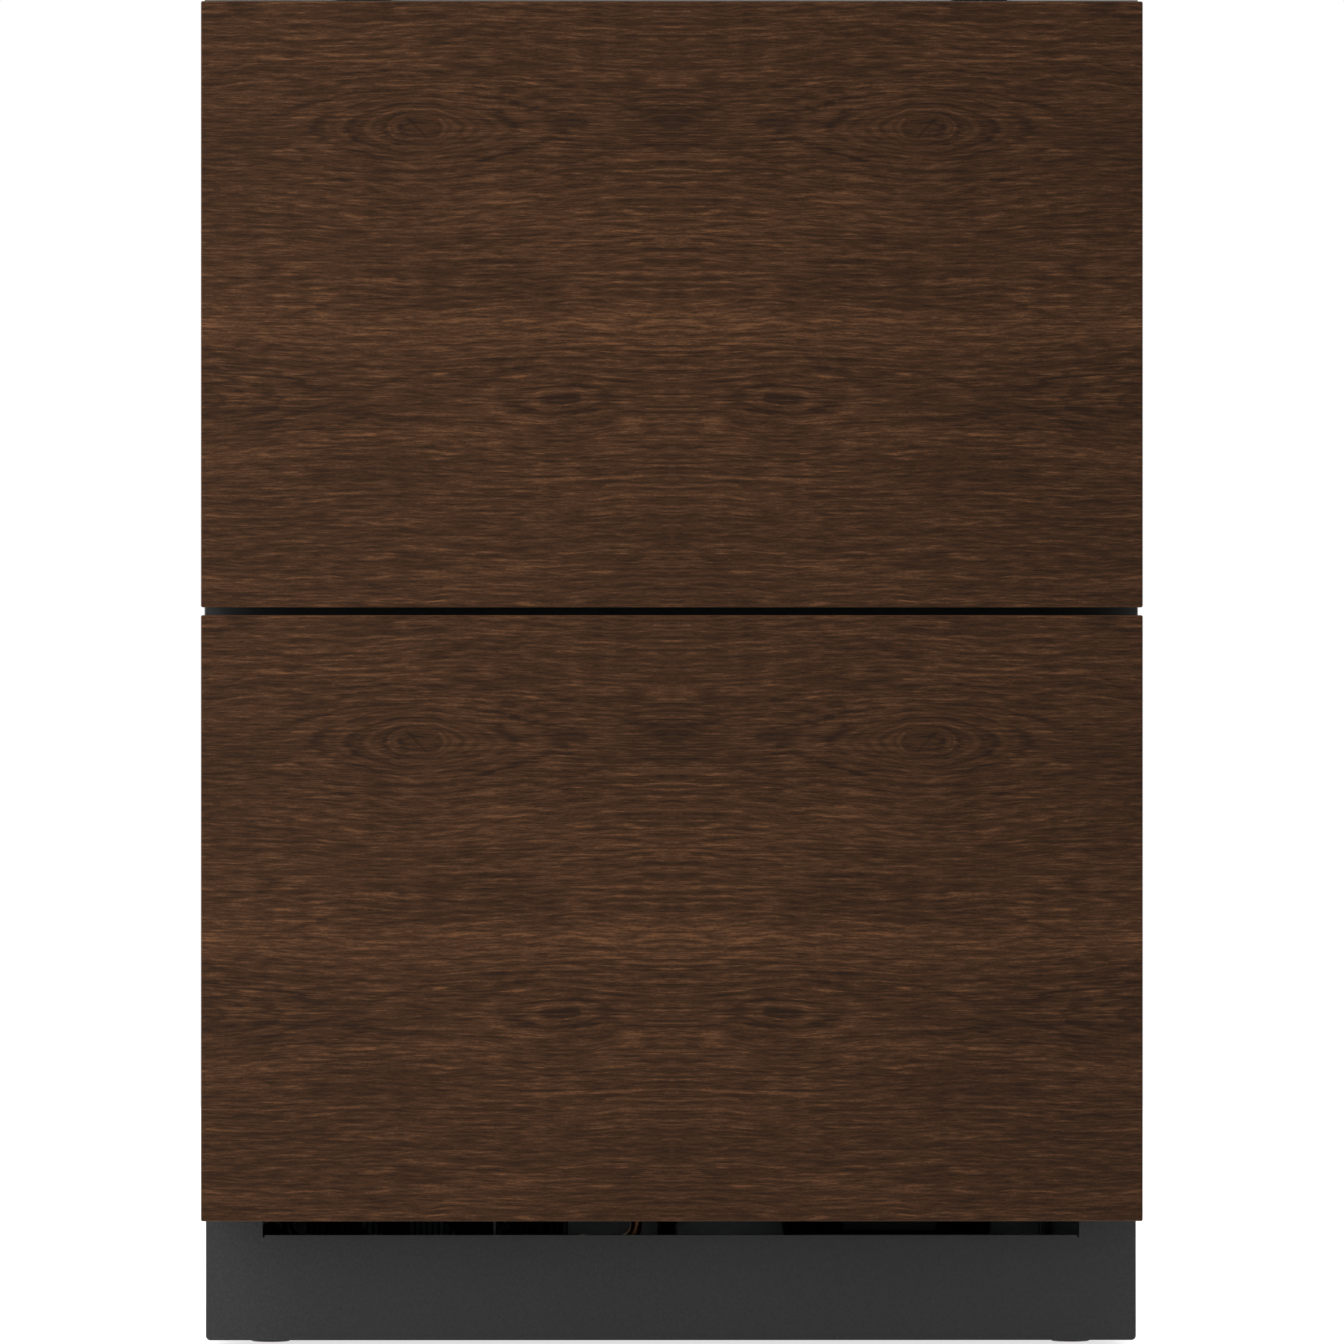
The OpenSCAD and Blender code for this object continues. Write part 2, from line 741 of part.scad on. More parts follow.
module compressor_shell() {
    round_r = 26;
    seam_up = 87;
    seam_h = 6;
    seam_w = 3;
    root = 4;
    color("#1c1c1e") {
        translate([comp_x, comp_y, comp_z]) difference() {
            union() {
                rotate_extrude() rounded_half(comp_r, comp_h, round_r);
                translate([0, 0, seam_up]) cylinder(h = seam_h, r = comp_r + seam_w);
            }
            translate([0, 0, comp_wall]) rotate_extrude()
                rounded_half(comp_r - comp_wall, comp_h - 2 * comp_wall, round_r - comp_wall);
        }
        difference() {
            union() {
                for (y = [-ear_dy, ear_dy]) block(
                    [comp_x - ear_dx - ear_pad, comp_y + y - ear_pad, ear_z],
                    [comp_x + ear_dx + ear_pad, comp_y + y + ear_pad, ear_z + ear_t]
                );
                translate([comp_x, comp_y, ear_z])
                    cylinder(h = comp_z + comp_wall - ear_z, r = comp_r - round_r);
            }
            ear_places() translate([0, 0, ear_z - cut])
                cylinder(h = ear_t + 2 * cut, r = grommet_r + hole_slack);
        }
        // discharge stub at the side, suction stub on the lid
        x_rod([comp_x - comp_r - stub_l, comp_y, discharge_z], pipe_r + 1, stub_l + root);
        translate([suction_stub_x, comp_y, comp_z + comp_h - root]) cylinder(h = stub_l, r = pipe_r + 1);
    }
}

// Height of a grommet's upper collar
collar_t = 3;
bolt_r = 4;

module compressor_grommets() {
    collar_w = 2;
    color("black") ear_places() translate([0, 0, base_top_z]) difference() {
        union() {
            cylinder(h = ear_lift, r = grommet_r + collar_w + 1);
            cylinder(h = ear_lift + ear_t + collar_t, r = grommet_r);
            translate([0, 0, ear_lift + ear_t]) cylinder(h = collar_t, r = grommet_r + collar_w);
        }
        translate([0, 0, -cut]) cylinder(h = ear_lift + ear_t + collar_t + 2 * cut, r = bolt_r + hole_slack);
    }
}

module compressor_bolts() {
    top = ear_lift + ear_t + collar_t;
    washer_t = 1.6;
    washer_r = 9;
    hex_h = 6;
    hex_r = 7;
    color("gray") ear_places() translate([0, 0, base_top_z]) {
        cylinder(h = top + cut, r = bolt_r);
        translate([0, 0, top]) cylinder(h = washer_t, r = washer_r);
        translate([0, 0, top + washer_t]) cylinder(h = hex_h, r = hex_r, $fn = 6);
    }
}

module terminal_cover() {
    half = 32;
    proud = 26;
    lap = 22;
    lift = 24;
    cover_h = 56;
    z = [comp_z + lift, comp_z + lift + cover_h];
    color("black") difference() {
        block([comp_x - half, comp_y - comp_r - proud, z[0]], [comp_x + half, comp_y - comp_r + lap, z[1]]);
        translate([comp_x, comp_y, comp_z]) cylinder(h = comp_h, r = comp_r + seat);
    }
}

// Serpentine tube of a coil: rows along X, joined by half-circle bends at alternate ends
module serpentine(half, y, z0, rows, pitch, r, tail) {
    for (i = [0 : rows - 1]) {
        open_end = i == 0 || i == rows - 1;
        x_rod([-half, y, z0 + i * pitch], r, 2 * half + (open_end ? tail : 0));
    }
    for (i = [0 : rows - 2])
        translate([i % 2 == 0 ? -half : half, y, z0 + (i + 0.5) * pitch])
            rotate([90, 0, 0]) rotate([0, 0, i % 2 == 0 ? 90 : -90])
                rotate_extrude(angle = 180) translate([pitch / 2, 0]) circle(r = r);
}

module fin_pack(half, y, z, count, t) {
    for (i = [0 : count - 1]) {
        x = -half + t / 2 + (2 * half - t) * i / (count - 1);
        block([x - t / 2, y[0], z[0]], [x + t / 2, y[1], z[1]]);
    }
}

module condenser_coil() {
    half = cond_w / 2 - coil_edge;
    y = [cond_y - cond_d / 2, cond_y + cond_d / 2];
    color("#23262a") translate([cond_x, 0, 0]) {
        serpentine(half, cond_y, cond_z0, cond_rows, cond_row_pitch, pipe_r, coil_tail);
        fin_pack(half, y, [cond_z0 - cond_fin_over, cond_top_z], cond_fins, cond_fin_t);
        both_sides() block([half - end_plate_t, y[0], base_top_z], [half, y[1], cond_top_z]);
    }
}

module condenser_shroud() {
    foot_d = 20;
    top_over = 6;
    color("#2a2a2a") difference() {
        union() {
            block(
                [cond_x - cond_w / 2, shroud_y, base_top_z],
                [cond_x + cond_w / 2, shroud_y + shroud_t, cond_top_z + top_over]
            );
            block(
                [cond_x - cond_w / 2, shroud_y, base_top_z],
                [cond_x + cond_w / 2, shroud_y + foot_d, base_top_z + shroud_t]
            );
            y_rod([cond_x, shroud_y, cond_fan_z], cond_fan_r + fan_gap + shroud_t, shroud_t + collar_l);
        }
        y_rod([cond_x, shroud_y - cut, cond_fan_z], cond_fan_r + fan_gap, shroud_t + collar_l + 2 * cut);
    }
}

// Axial fan about +Y, with its front at y = 0: pitched flat blades on a bored hub
module axial_fan(r, hub_r, depth, blades, bore) {
    pitch = 32;
    blade_t = 1.6;
    rotate([-90, 0, 0]) difference() {
        union() {
            cylinder(h = depth, r = hub_r);
            for (i = [0 : blades - 1]) rotate([0, 0, i * 360 / blades]) intersection() {
                difference() {
                    cylinder(h = depth, r = r);
                    translate([0, 0, -cut]) cylinder(h = depth + 2 * cut, r = hub_r - 1);
                }
                translate([hub_r - 2, 0, depth / 2]) rotate([pitch, 0, 0])
                    translate([0, -r, -blade_t / 2]) cube([r, 2 * r, blade_t]);
            }
        }
        translate([0, 0, -cut]) cylinder(h = depth + 2 * cut, r = bore + hole_slack);
    }
}

cond_fan_depth = 20;
cond_fan_setback = 4;
cond_hub_r = 18;
cond_blades = 5;
cond_fan_y = shroud_y + shroud_t + cond_fan_setback;
cond_motor_y = shroud_y + shroud_t + collar_l;
cond_shaft_r = 3;

module condenser_fan() {
    color("#303030") translate([cond_x, cond_fan_y, cond_fan_z])
        axial_fan(cond_fan_r, cond_hub_r, cond_fan_depth, cond_blades, cond_shaft_r);
}

module condenser_fan_motor() {
    arm_t = 3;
    arm_w = 10;
    arm_l = cond_fan_r + fan_gap + shroud_t;
    motor_r = 26;
    motor_l = 26;
    color("#3b3b3d") {
        y_rod([cond_x, cond_motor_y, cond_fan_z], motor_r, motor_l);
        y_rod([cond_x, cond_fan_y, cond_fan_z], cond_shaft_r, cond_motor_y - cond_fan_y + cut);
        translate([cond_x, cond_motor_y, cond_fan_z]) for (a = [45 : 90 : 315]) rotate([0, a, 0])
            block([0, 0, -arm_w / 2], [arm_l, arm_t, arm_w / 2]);
    }
}

module refrigerant_pipes() {
    cond_end = cond_x + cond_w / 2 - coil_edge + coil_tail;
    evap_end = evap_w / 2 - coil_edge + coil_tail;
    run_x = cond_end + 2 * pipe_bend;
    run_up = 45;
    run_z = cond_high_z + run_up;
    drier_out = 40;
    drier_up = 32;
    drier_back = 38;
    drier_l = 70;
    drier_r = 10;
    drier_x = cond_end + drier_out;
    drier_z = cond_z0 + drier_up;
    drier_y = [cond_y + drier_back, cond_y + drier_back + drier_l];
    rear_run_in = 32;
    rear_run_y = grille_y - rear_run_in;
    under_drop = 28;
    under_z = machine_top - under_drop;
    stub_root = 4;
    suction_top = comp_z + comp_h - stub_root + stub_l;
    suction_drop = 36;
    suction_run_z = machine_top - suction_drop;
    color("peru") {
        // compressor to condenser
        pipe([
            [comp_x - comp_r - stub_l, comp_y, discharge_z], [run_x, comp_y, discharge_z],
            [run_x, comp_y, run_z], [run_x, cond_y, run_z], [run_x, cond_y, cond_high_z],
            [cond_end, cond_y, cond_high_z]
        ], pipe_r);
        // condenser to filter drier
        pipe([
            [cond_end, cond_y, cond_z0], [drier_x, cond_y, cond_z0], [drier_x, cond_y, drier_z],
            [drier_x, drier_y[0], drier_z]
        ], pipe_r);
        y_rod([drier_x, drier_y[0], drier_z], drier_r, drier_y[1] - drier_y[0]);
        // capillary from the drier up into the evaporator
        pipe([
            [drier_x, drier_y[1], drier_z], [drier_x, rear_run_y, drier_z],
            [drier_x, rear_run_y, under_z], [capillary_x, rear_run_y, under_z],
            [capillary_x, passage_y, under_z], [capillary_x, passage_y, evap_top_z],
            [evap_end, passage_y, evap_top_z]
        ], capillary_r);
        // suction line back to the compressor
        pipe([
            [evap_end, passage_y, evap_z0], [suction_x, passage_y, evap_z0],
            [suction_x, passage_y, suction_run_z], [suction_stub_x, passage_y, suction_run_z],
            [suction_stub_x, comp_y, suction_run_z], [suction_stub_x, comp_y, suction_top]
        ], pipe_r);
    }
}

module drain_pan() {
    h = 26;
    pan_forward = 80;
    screw_clear = 3;
    y = [drain_y - pan_forward, case_back_y - fix_l - screw_clear];
    inside_y = [y[0] + drain_wall, y[1] - drain_wall];
    color("#4a4a4a") translate([drain_x, 0, base_top_z]) difference() {
        mid_block(drain_half, y, [0, h]);
        mid_block(drain_half - drain_wall, inside_y, [drain_wall, h + cut]);
    }
}

module drain_tube() {
    funnel_w = 9;
    funnel_t = 2;
    end_up = 14;
    low_z = base_top_z + end_up;
    color("#5a5a5a") translate([drain_x, drain_y, 0]) difference() {
        union() {
            translate([0, 0, hump_top_z]) cylinder(h = funnel_t, r = drain_r + funnel_w);
            translate([0, 0, low_z]) cylinder(h = hump_top_z + 1 - low_z, r = drain_r);
        }
        translate([0, 0, low_z - cut]) cylinder(h = hump_top_z, r = drain_r - drain_wall);
    }
}

module power_board_box() {
    wall = 2;
    box_w = 40;
    box_l = 120;
    box_h = 82;
    size = [box_w, box_l, box_h];
    setback = 24;
    drop = 6;
    slits = 6;
    slit_w = 6;
    slit_pitch = 16;
    slit_inset = 20;
    low = [shell_x - size[0], machine_y + setback, machine_top - drop - size[2]];
    color("#dcdcd8") translate(low) difference() {
        cube(size);
        block([wall, wall, wall], [size[0] + cut, size[1] - wall, size[2] - wall]);
        for (i = [0 : slits - 1]) {
            y = (i + 1) * slit_pitch;
            block([-cut, y, slit_inset], [wall + cut, y + slit_w, size[2] - slit_inset]);
        }
    }
}

// ---- Cold parts ----

module evaporator_coil() {
    color("#c9ccd0") {
        half = evap_w / 2 - coil_edge;
        z = [evap_z0 - evap_fin_over, evap_top_z + evap_fin_over];
        serpentine(half, evap_y, evap_z0, evap_rows, evap_row_pitch, evap_tube_r, coil_tail);
        fin_pack(half, evap_fin_y, z, evap_fins, evap_fin_t);
        both_sides() block([half - end_plate_t, evap_fin_y[0], z[0]], [half, liner_back_y, z[1]]);
    }
}

module evaporator_cover() {
    ring_w = 2;
    ring_r0 = 14;
    ring_pitch = 9;
    spoke_w = 2.4;
    flange = 22;
    slot_l = evap_w / 2;
    slot_h = 6;
    slot_pitch = 14;
    slot_gap = 20;
    slot_up = 26;
    color("#d6d8da") difference() {
        union() {
            translate([0, evap_cover_y + evap_cover_t, 0]) rotate([90, 0, 0])
                linear_extrude(height = evap_cover_t) {
                    difference() {
                        translate([-liner_x, hump_top_z]) square([2 * liner_x, liner_top_z - hump_top_z]);
                        translate([0, evap_fan_z]) circle(r = evap_opening_r);
                        for (i = [0 : 5], x = [-slot_l - slot_gap, slot_gap])
                            louvre(x, hump_top_z + slot_up + i * slot_pitch, slot_l, slot_h);
                    }
                    translate([0, evap_fan_z])
                        for (r = [ring_r0 : ring_pitch : evap_opening_r - ring_w]) difference() {
                            circle(r = r + ring_w);
                            circle(r = r);
                        }
                    translate([0, evap_fan_z]) for (a = [0 : 60 : 120]) rotate(a)
                        translate([-evap_opening_r - cut, -spoke_w / 2])
                            square([2 * evap_opening_r + 2 * cut, spoke_w]);
                }
            both_sides() block(
                [liner_x - evap_cover_t, evap_cover_y, hump_top_z],
                [liner_x, evap_cover_y + flange, liner_top_z]
            );
        }
        liner_screws(hole_slack);
    }
}

evap_fan_depth = 16;
evap_fan_gap = 6;
evap_hub_r = 13;
evap_blades = 7;
evap_motor_r = 20;
evap_fan_y = evap_cover_y + evap_cover_t + evap_fan_gap;
evap_motor_y = evap_fan_y + evap_fan_depth + 2;
evap_shaft_r = 1.6;

module evaporator_fan() {
    color("#202020") translate([0, evap_fan_y, evap_fan_z])
        axial_fan(evap_fan_r, evap_hub_r, evap_fan_depth, evap_blades, evap_shaft_r);
}

module evaporator_fan_motor() {
    foot_half = evap_fan_r;
    foot_t = 4;
    foot_h = 20;
    color("#303033") {
        y_rod([0, evap_motor_y, evap_fan_z], evap_motor_r, liner_back_y - evap_motor_y);
        y_rod([0, evap_fan_y, evap_fan_z], evap_shaft_r, evap_motor_y - evap_fan_y + cut);
        mid_block(
            foot_half, [liner_back_y - foot_t, liner_back_y],
            [evap_fan_z - foot_h / 2, evap_fan_z + foot_h / 2]
        );
    }
}

module temperature_sensor() {
    inset = 75;
    drop = 36;
    x = -liner_x + inset;
    z = liner_top_z - drop;
    bulb_r = 3.6;
    bulb_l = 32;
    clip_w = 18;
    clip_d = 4;
    clip_h = 12;
    clip = [clip_w, clip_d, clip_h];
    color("white") {
        translate([x - clip[0] / 2, evap_cover_y - clip[1], z - clip[2] / 2]) cube(clip);
        x_rod([x - bulb_l / 2, evap_cover_y - clip[1] - bulb_r + 0.6, z], bulb_r, bulb_l);
    }
}

// ---- Controls ----

function button_x(i) = button_x0 + i * button_pitch;

module control_housing() {
    color("#e4e5e6") difference() {
        mid_block(control_x, [control_y, control_y + control_d], [control_z, liner_top_z]);
        mid_block(
            control_x - control_t, [control_y + control_t, control_y + control_d - control_t],
            [control_z + control_t, liner_top_z + cut]
        );
        block(
            [display_x[0] - seat, control_y - cut, button_z - display_half_h - seat],
            [display_x[1] + seat, control_y + control_t + cut, button_z + display_half_h + seat]
        );
        for (i = [0 : 2])
            y_rod([button_x(i), control_y - cut, button_z], button_r + button_gap, control_t + 2 * cut);
        mid_block(
            lens_half[0] + seat, [lens_y - lens_half[1] - seat, lens_y + lens_half[1] + seat],
            [control_z - cut, control_z + control_t + cut]
        );
    }
}

button_gap = 0.2;
button_flange_t = 1.3;
button_flange_w = 1.5;
switch_h = 4;
board_t = 1.6;
button_back_y = control_y + control_t + seat + button_flange_t;
board_y = button_back_y + button_travel + seat + switch_h;

module control_board() {
    color("darkgreen") {
        mid_block(
            control_x - control_t - seat, [board_y, board_y + board_t],
            [control_z + control_t + seat, liner_top_z - 3]
        );
        block(
            [display_x[0], control_y, button_z - display_half_h],
            [display_x[1], board_y, button_z + display_half_h]
        );
        for (i = [0 : 2]) block(
            [button_x(i) - 3, button_back_y + button_travel + seat, button_z - 3],
            [button_x(i) + 3, board_y, button_z + 3]
        );
    }
}

module led_lens() {
    lip = 2;
    lip_t = 1.5;
    color("white") {
        mid_block(
            lens_half[0], [lens_y - lens_half[1], lens_y + lens_half[1]],
            [control_z - 1, control_z + control_t + 1]
        );
        mid_block(
            lens_half[0] + lip, [lens_y - lens_half[1] - lip, lens_y + lens_half[1] + lip],
            [control_z + control_t, control_z + control_t + lip_t]
        );
    }
}

module button(i) {
    proud = 1.6;
    color("#c8cacc") {
        y_rod([button_x(i), control_y - proud, button_z], button_r, button_back_y - control_y + proud);
        y_rod(
            [button_x(i), button_back_y - button_flange_t, button_z],
            button_r + button_flange_w, button_flange_t
        );
    }
}

// ---- Rails ----

// One channel along the rail's length on the +X side: web span, flange span and half height
module channel(web, flange, half, z) {
    y = [rail_y, rail_y + rail_l];
    block([web[0], y[0], z - half], [web[1], y[1], z + half]);
    for (s = [-1, 1]) {
        edge = z + s * half;
        block(
            [flange[0], y[0], min(edge, edge - s * rail_t)], [flange[1], y[1], max(edge, edge - s * rail_t)]
        );
    }
}

module cabinet_rails() {
    color("#b9bcc0") difference() {
        both_sides() for (z = [lower_rail_z, upper_rail_z])
            channel([fixed_web_x, liner_x], [flange_in_x, liner_x], fixed_flange_z, z);
        liner_screws(hole_slack);
    }
}

// The telescopic middle members with their bearing balls: the outer rows run in the case's rails
// and sit in the rear half, the inner rows carry the drawer's rails and sit in the front half
module middle_rails(z) {
    ball_pitch = 41.6;
    ball_inset = 12;
    web = [middle_web_x, middle_web_x + rail_t];
    outer_ball_z = middle_flange_z + raceway / 2;
    inner_ball_z = drawer_flange_z + raceway / 2;
    color("#a9adb2") both_sides() {
        channel(web, [flange_in_x, web[1]], middle_flange_z, z);
        for (i = [0 : ball_count - 1], s = [-1, 1]) {
            translate([ball_x, rail_y + rail_l - ball_inset - i * ball_pitch, z + s * outer_ball_z])
                sphere(r = ball_r);
            translate([ball_x, rail_y + ball_inset + i * ball_pitch, z + s * inner_ball_z])
                sphere(r = ball_r);
        }
    }
}

module drawer_rails(z) {
    color("#c4c7ca") both_sides()
        channel([box_x, box_x + rail_t], [box_x, middle_web_x - 1], drawer_flange_z, z);
}

// ---- Drawers ----

// Places of the six long screws through a drawer front, as [x, z]
function front_screws(z0) = [for (x = [-front_screw_x, front_screw_x], z = front_screw_z) [x, z0 + z]];

// Places of the four short screws that hold the box to its front, as [x, z]
function box_screws(z) = [
    for (x = [-box_screw_x, box_screw_x], e = [z[0] + box_screw_z, z[1] - box_screw_z]) [x, e]
];

// The long countersunk screws, from the gasket side into the wood panel
module front_screw_shafts(z0, slack) {
    for (s = front_screws(z0)) {
        translate([s[0], front_y, s[1]]) rotate([90, 0, 0])
            cylinder(h = front_liner_t, r1 = screw_head_r + slack, r2 = screw_r + slack);
        y_rod([s[0], skin_y - panel_bite - slack, s[1]], screw_r + slack, front_t + panel_bite + slack);
    }
}

module box_screw_shafts(z, slack) {
    for (s = box_screws(z))
        y_rod([s[0], front_y - box_screw_l - slack, s[1]], screw_r + slack, box_screw_l + box_t + 2 * slack);
}

module wood_panel(z0) {
    color("#46301f") difference() {
        mid_block(half_w, [panel_y, skin_y], [z0, z0 + panel_h]);
        front_screw_shafts(z0, hole_slack);
    }
}

module front_skin(z0) {
    color("#9b9da0") difference() {
        mid_block(front_x, [skin_y, front_y], [z0 + front_inset, z0 + panel_h - front_inset]);
        mid_block(
            front_x - skin_t, [skin_y + skin_t, front_y + cut],
            [z0 + front_inset + skin_t, z0 + panel_h - front_inset - skin_t]
        );
        front_screw_shafts(z0, hole_slack);
    }
}

module front_foam(z0, box_z) {
    color("khaki") difference() {
        mid_block(
            front_x - skin_t, [skin_y + skin_t, front_y - front_liner_t],
            [z0 + front_inset + skin_t, z0 + panel_h - front_inset - skin_t]
        );
        front_screw_shafts(z0, hole_slack);
        box_screw_shafts(box_z, hole_slack);
    }
}

module front_liner(z0, box_z) {
    color("#d9dadb") difference() {
        mid_block(
            front_x - skin_t, [front_y - front_liner_t, front_y],
            [z0 + front_inset + skin_t, z0 + panel_h - front_inset - skin_t]
        );
        front_screw_shafts(z0, hole_slack);
        box_screw_shafts(box_z, hole_slack);
    }
}

// A rectangular ring around an opening, from the offset a to the offset b outside its edge
module gasket_ring(open_z, a, b, y) {
    difference() {
        mid_block(liner_x + b, y, [open_z[0] - b, open_z[1] + b]);
        mid_block(liner_x + a, [y[0] - cut, y[1] + cut], [open_z[0] - a, open_z[1] + a]);
    }
}

// Magnetic gasket: a broad foot, a narrow bellows and the magnet's pocket
module gasket(open_z) {
    a = gasket_margin;
    b = gasket_margin + gasket_w;
    foot = 2.5;
    pocket = 4;
    color("#2b2b2b") {
        gasket_ring(open_z, a, b, [front_y, front_y + foot]);
        gasket_ring(open_z, a + 3, b - 3, [front_y, front_y + gasket_t - 1]);
        gasket_ring(open_z, a + 1, b - 1, [front_y + gasket_t - pocket, front_y + gasket_t]);
    }
}

// A drawer box whose side outline is given as (y, z) points, outside and inside. It is welded
// from plain sheets, with seams between the sides, the walls across and the rims.
module sheet_box(outside, inside, top) {
    vents = 6;
    vent_pitch = 70;
    vent_w = 50;
    vent_h = 8;
    vent_down = 26;
    rear_seam_y = [box_rear_y, box_rear_y + seam];
    difference() {
        union() {
            across(2 * box_x) polygon(outside);
            both_sides() {
                block([box_x, front_y, top - box_t], [box_x + rim_w, box_rear_y, top]);
                block([box_x + rim_w - box_t, front_y, top - rim_h], [box_x + rim_w, box_rear_y, top]);
            }
            mid_block(box_x + rim_w, [box_rear_y, box_rear_y + rim_w], [top - box_t, top]);
            mid_block(
                box_x + rim_w, [box_rear_y + rim_w - box_t, box_rear_y + rim_w], [top - rim_h, top]
            );
        }
        across(2 * (box_x - box_t)) polygon(inside);
        for (s = box_screws([outside[0][1], top]))
            y_rod([s[0], front_y - cut, s[1]], screw_r + hole_slack, box_t + 2 * cut);
        // air slots in the rear wall
        for (i = [0 : vents - 1]) translate([(i + 0.5 - vents / 2) * vent_pitch - vent_w / 2, box_rear_y, 0])
            block([0, -box_t - cut, top - vent_down - vent_h], [vent_w, cut, top - vent_down]);
        mid_block(box_x + rim_w + cut, rear_seam_y, [outside[0][1] - cut, top + cut]);
        both_sides() for (x = [box_x - box_t - seam, box_x])
            block([x, front_y - cut, outside[0][1] - cut], [x + seam, rear_seam_y[1], top + cut]);
    }
}

// The seam between a sheet that lies at the height z and the walls across that stand on it
module floor_seam(y, z) {
    mid_block(box_x - box_t - seam / 2, y, [z + box_t, z + box_t + seam]);
}

module upper_box() {
    z = upper_box_z;
    color("#c9cccf") difference() {
        sheet_box(
            [[front_y, z[0]], [box_rear_y, z[0]], [box_rear_y, z[1]], [front_y, z[1]]],
            [
                [front_y + box_t, z[0] + box_t], [box_rear_y - box_t, z[0] + box_t],
                [box_rear_y - box_t, z[1] + cut], [front_y + box_t, z[1] + cut]
            ],
            z[1]
        );
        floor_seam([front_y - cut, box_rear_y + cut], z[0]);
    }
}

// The lower box is deep in front and steps up over the machine compartment
module lower_box() {
    z = lower_box_z;
    color("#c9cccf") difference() {
        sheet_box(
            [
                [front_y, z[0]], [step_y, z[0]], [step_y, step_z], [box_rear_y, step_z],
                [box_rear_y, z[1]], [front_y, z[1]]
            ],
            [
                [front_y + box_t, z[0] + box_t], [step_y - box_t, z[0] + box_t],
                [step_y - box_t, step_z + box_t], [box_rear_y - box_t, step_z + box_t],
                [box_rear_y - box_t, z[1] + cut], [front_y + box_t, z[1] + cut]
            ],
            z[1]
        );
        floor_seam([front_y - cut, step_y + cut], z[0]);
        floor_seam([step_y, box_rear_y + cut], step_z);
        mid_block(box_x + seam / 2, [step_y, step_y + seam], [step_z - cut, z[1] + cut]);
    }
}

module drawer_screws(z0, box_z) {
    color("gray") {
        front_screw_shafts(z0, 0);
        box_screw_shafts(box_z, 0);
        for (s = box_screws(box_z))
            y_rod([s[0], front_y + box_t, s[1]], box_screw_head_r, box_screw_head_h);
    }
}

// Divider plate under a rail that hangs on the box's rims by two lugs and slides along them
module divider(y, box_z) {
    side_clear = 1;
    lug_clear = 0.5;
    lug_over = 1;
    floor_clear = 2;
    half = box_x - box_t - side_clear;
    lug_x = box_x + rim_w + lug_clear;
    rail_half = 9;
    top = box_z[1] + seat;
    low = box_z[1] - (box_z[1] - box_z[0] - box_t - floor_clear) * divider_share;
    color("#dfe1e3") {
        mid_block(half, [y - divider_t / 2, y + divider_t / 2], [low, top - seam]);
        mid_block(lug_x + divider_t, [y - rail_half, y + rail_half], [top, top + divider_t]);
        both_sides() block(
            [lug_x, y - rail_half, box_z[1] - rim_h - lug_over],
            [lug_x + divider_t, y + rail_half, top - seam]
        );
    }
}

// ---- The pieces ----

outer_case();
back_panel();
cabinet_foam();
inner_liner();
face_frame();
mullion();
base_pan();
kick_plate();
rear_grille();
cabinet_screws();
counter_brackets();
cord_gland();
compressor_shell();
compressor_grommets();
compressor_bolts();
terminal_cover();
condenser_coil();
condenser_shroud();
condenser_fan_motor();
condenser_fan();
refrigerant_pipes();
drain_pan();
drain_tube();
power_board_box();
evaporator_coil();
evaporator_cover();
evaporator_fan_motor();
evaporator_fan();
temperature_sensor();
control_housing();
control_board();
led_lens();
button(0);  // button_power
button(1);  // button_colder
button(2);  // button_warmer
cabinet_rails();
leg(-leg_x, leg_front_y);  // leg_front_left
leg(leg_x, leg_front_y);  // leg_front_right
leg(-leg_x, leg_rear_y);  // leg_rear_left
leg(leg_x, leg_rear_y);  // leg_rear_right
wood_panel(upper_panel_z);  // upper_panel
front_skin(upper_panel_z);  // upper_front_skin
front_foam(upper_panel_z, upper_box_z);  // upper_front_foam
front_liner(upper_panel_z, upper_box_z);  // upper_front_liner
gasket(upper_open_z);  // upper_gasket
upper_box();
drawer_rails(upper_rail_z);  // upper_drawer_rails
middle_rails(upper_rail_z);  // upper_middle_rails
drawer_screws(upper_panel_z, upper_box_z);  // upper_front_screws
divider(upper_divider_y, upper_box_z);  // upper_divider
wood_panel(toe_h);  // lower_panel
front_skin(toe_h);  // lower_front_skin
front_foam(toe_h, lower_box_z);  // lower_front_foam
front_liner(toe_h, lower_box_z);  // lower_front_liner
gasket(lower_open_z);  // lower_gasket
lower_box();
drawer_rails(lower_rail_z);  // lower_drawer_rails
middle_rails(lower_rail_z);  // lower_middle_rails
drawer_screws(toe_h, lower_box_z);  // lower_front_screws
divider(lower_divider_y, lower_box_z);  // lower_divider
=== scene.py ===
# %% [markdown]
# # An undercounter drawer refrigerator, dressed for the camera
# A refrigerator with two drawers slides under a kitchen counter, and only its two wood panels
# and its kick plate show. The drawing of every part is already packed as a fixed frame. This
# lesson puts finishes on those parts and makes the ones that need rounder shapes anew. Working
# around a frame keeps all sizes and joints true, so nothing has to be fitted by eye.

# %% Open the frame
import json
import math

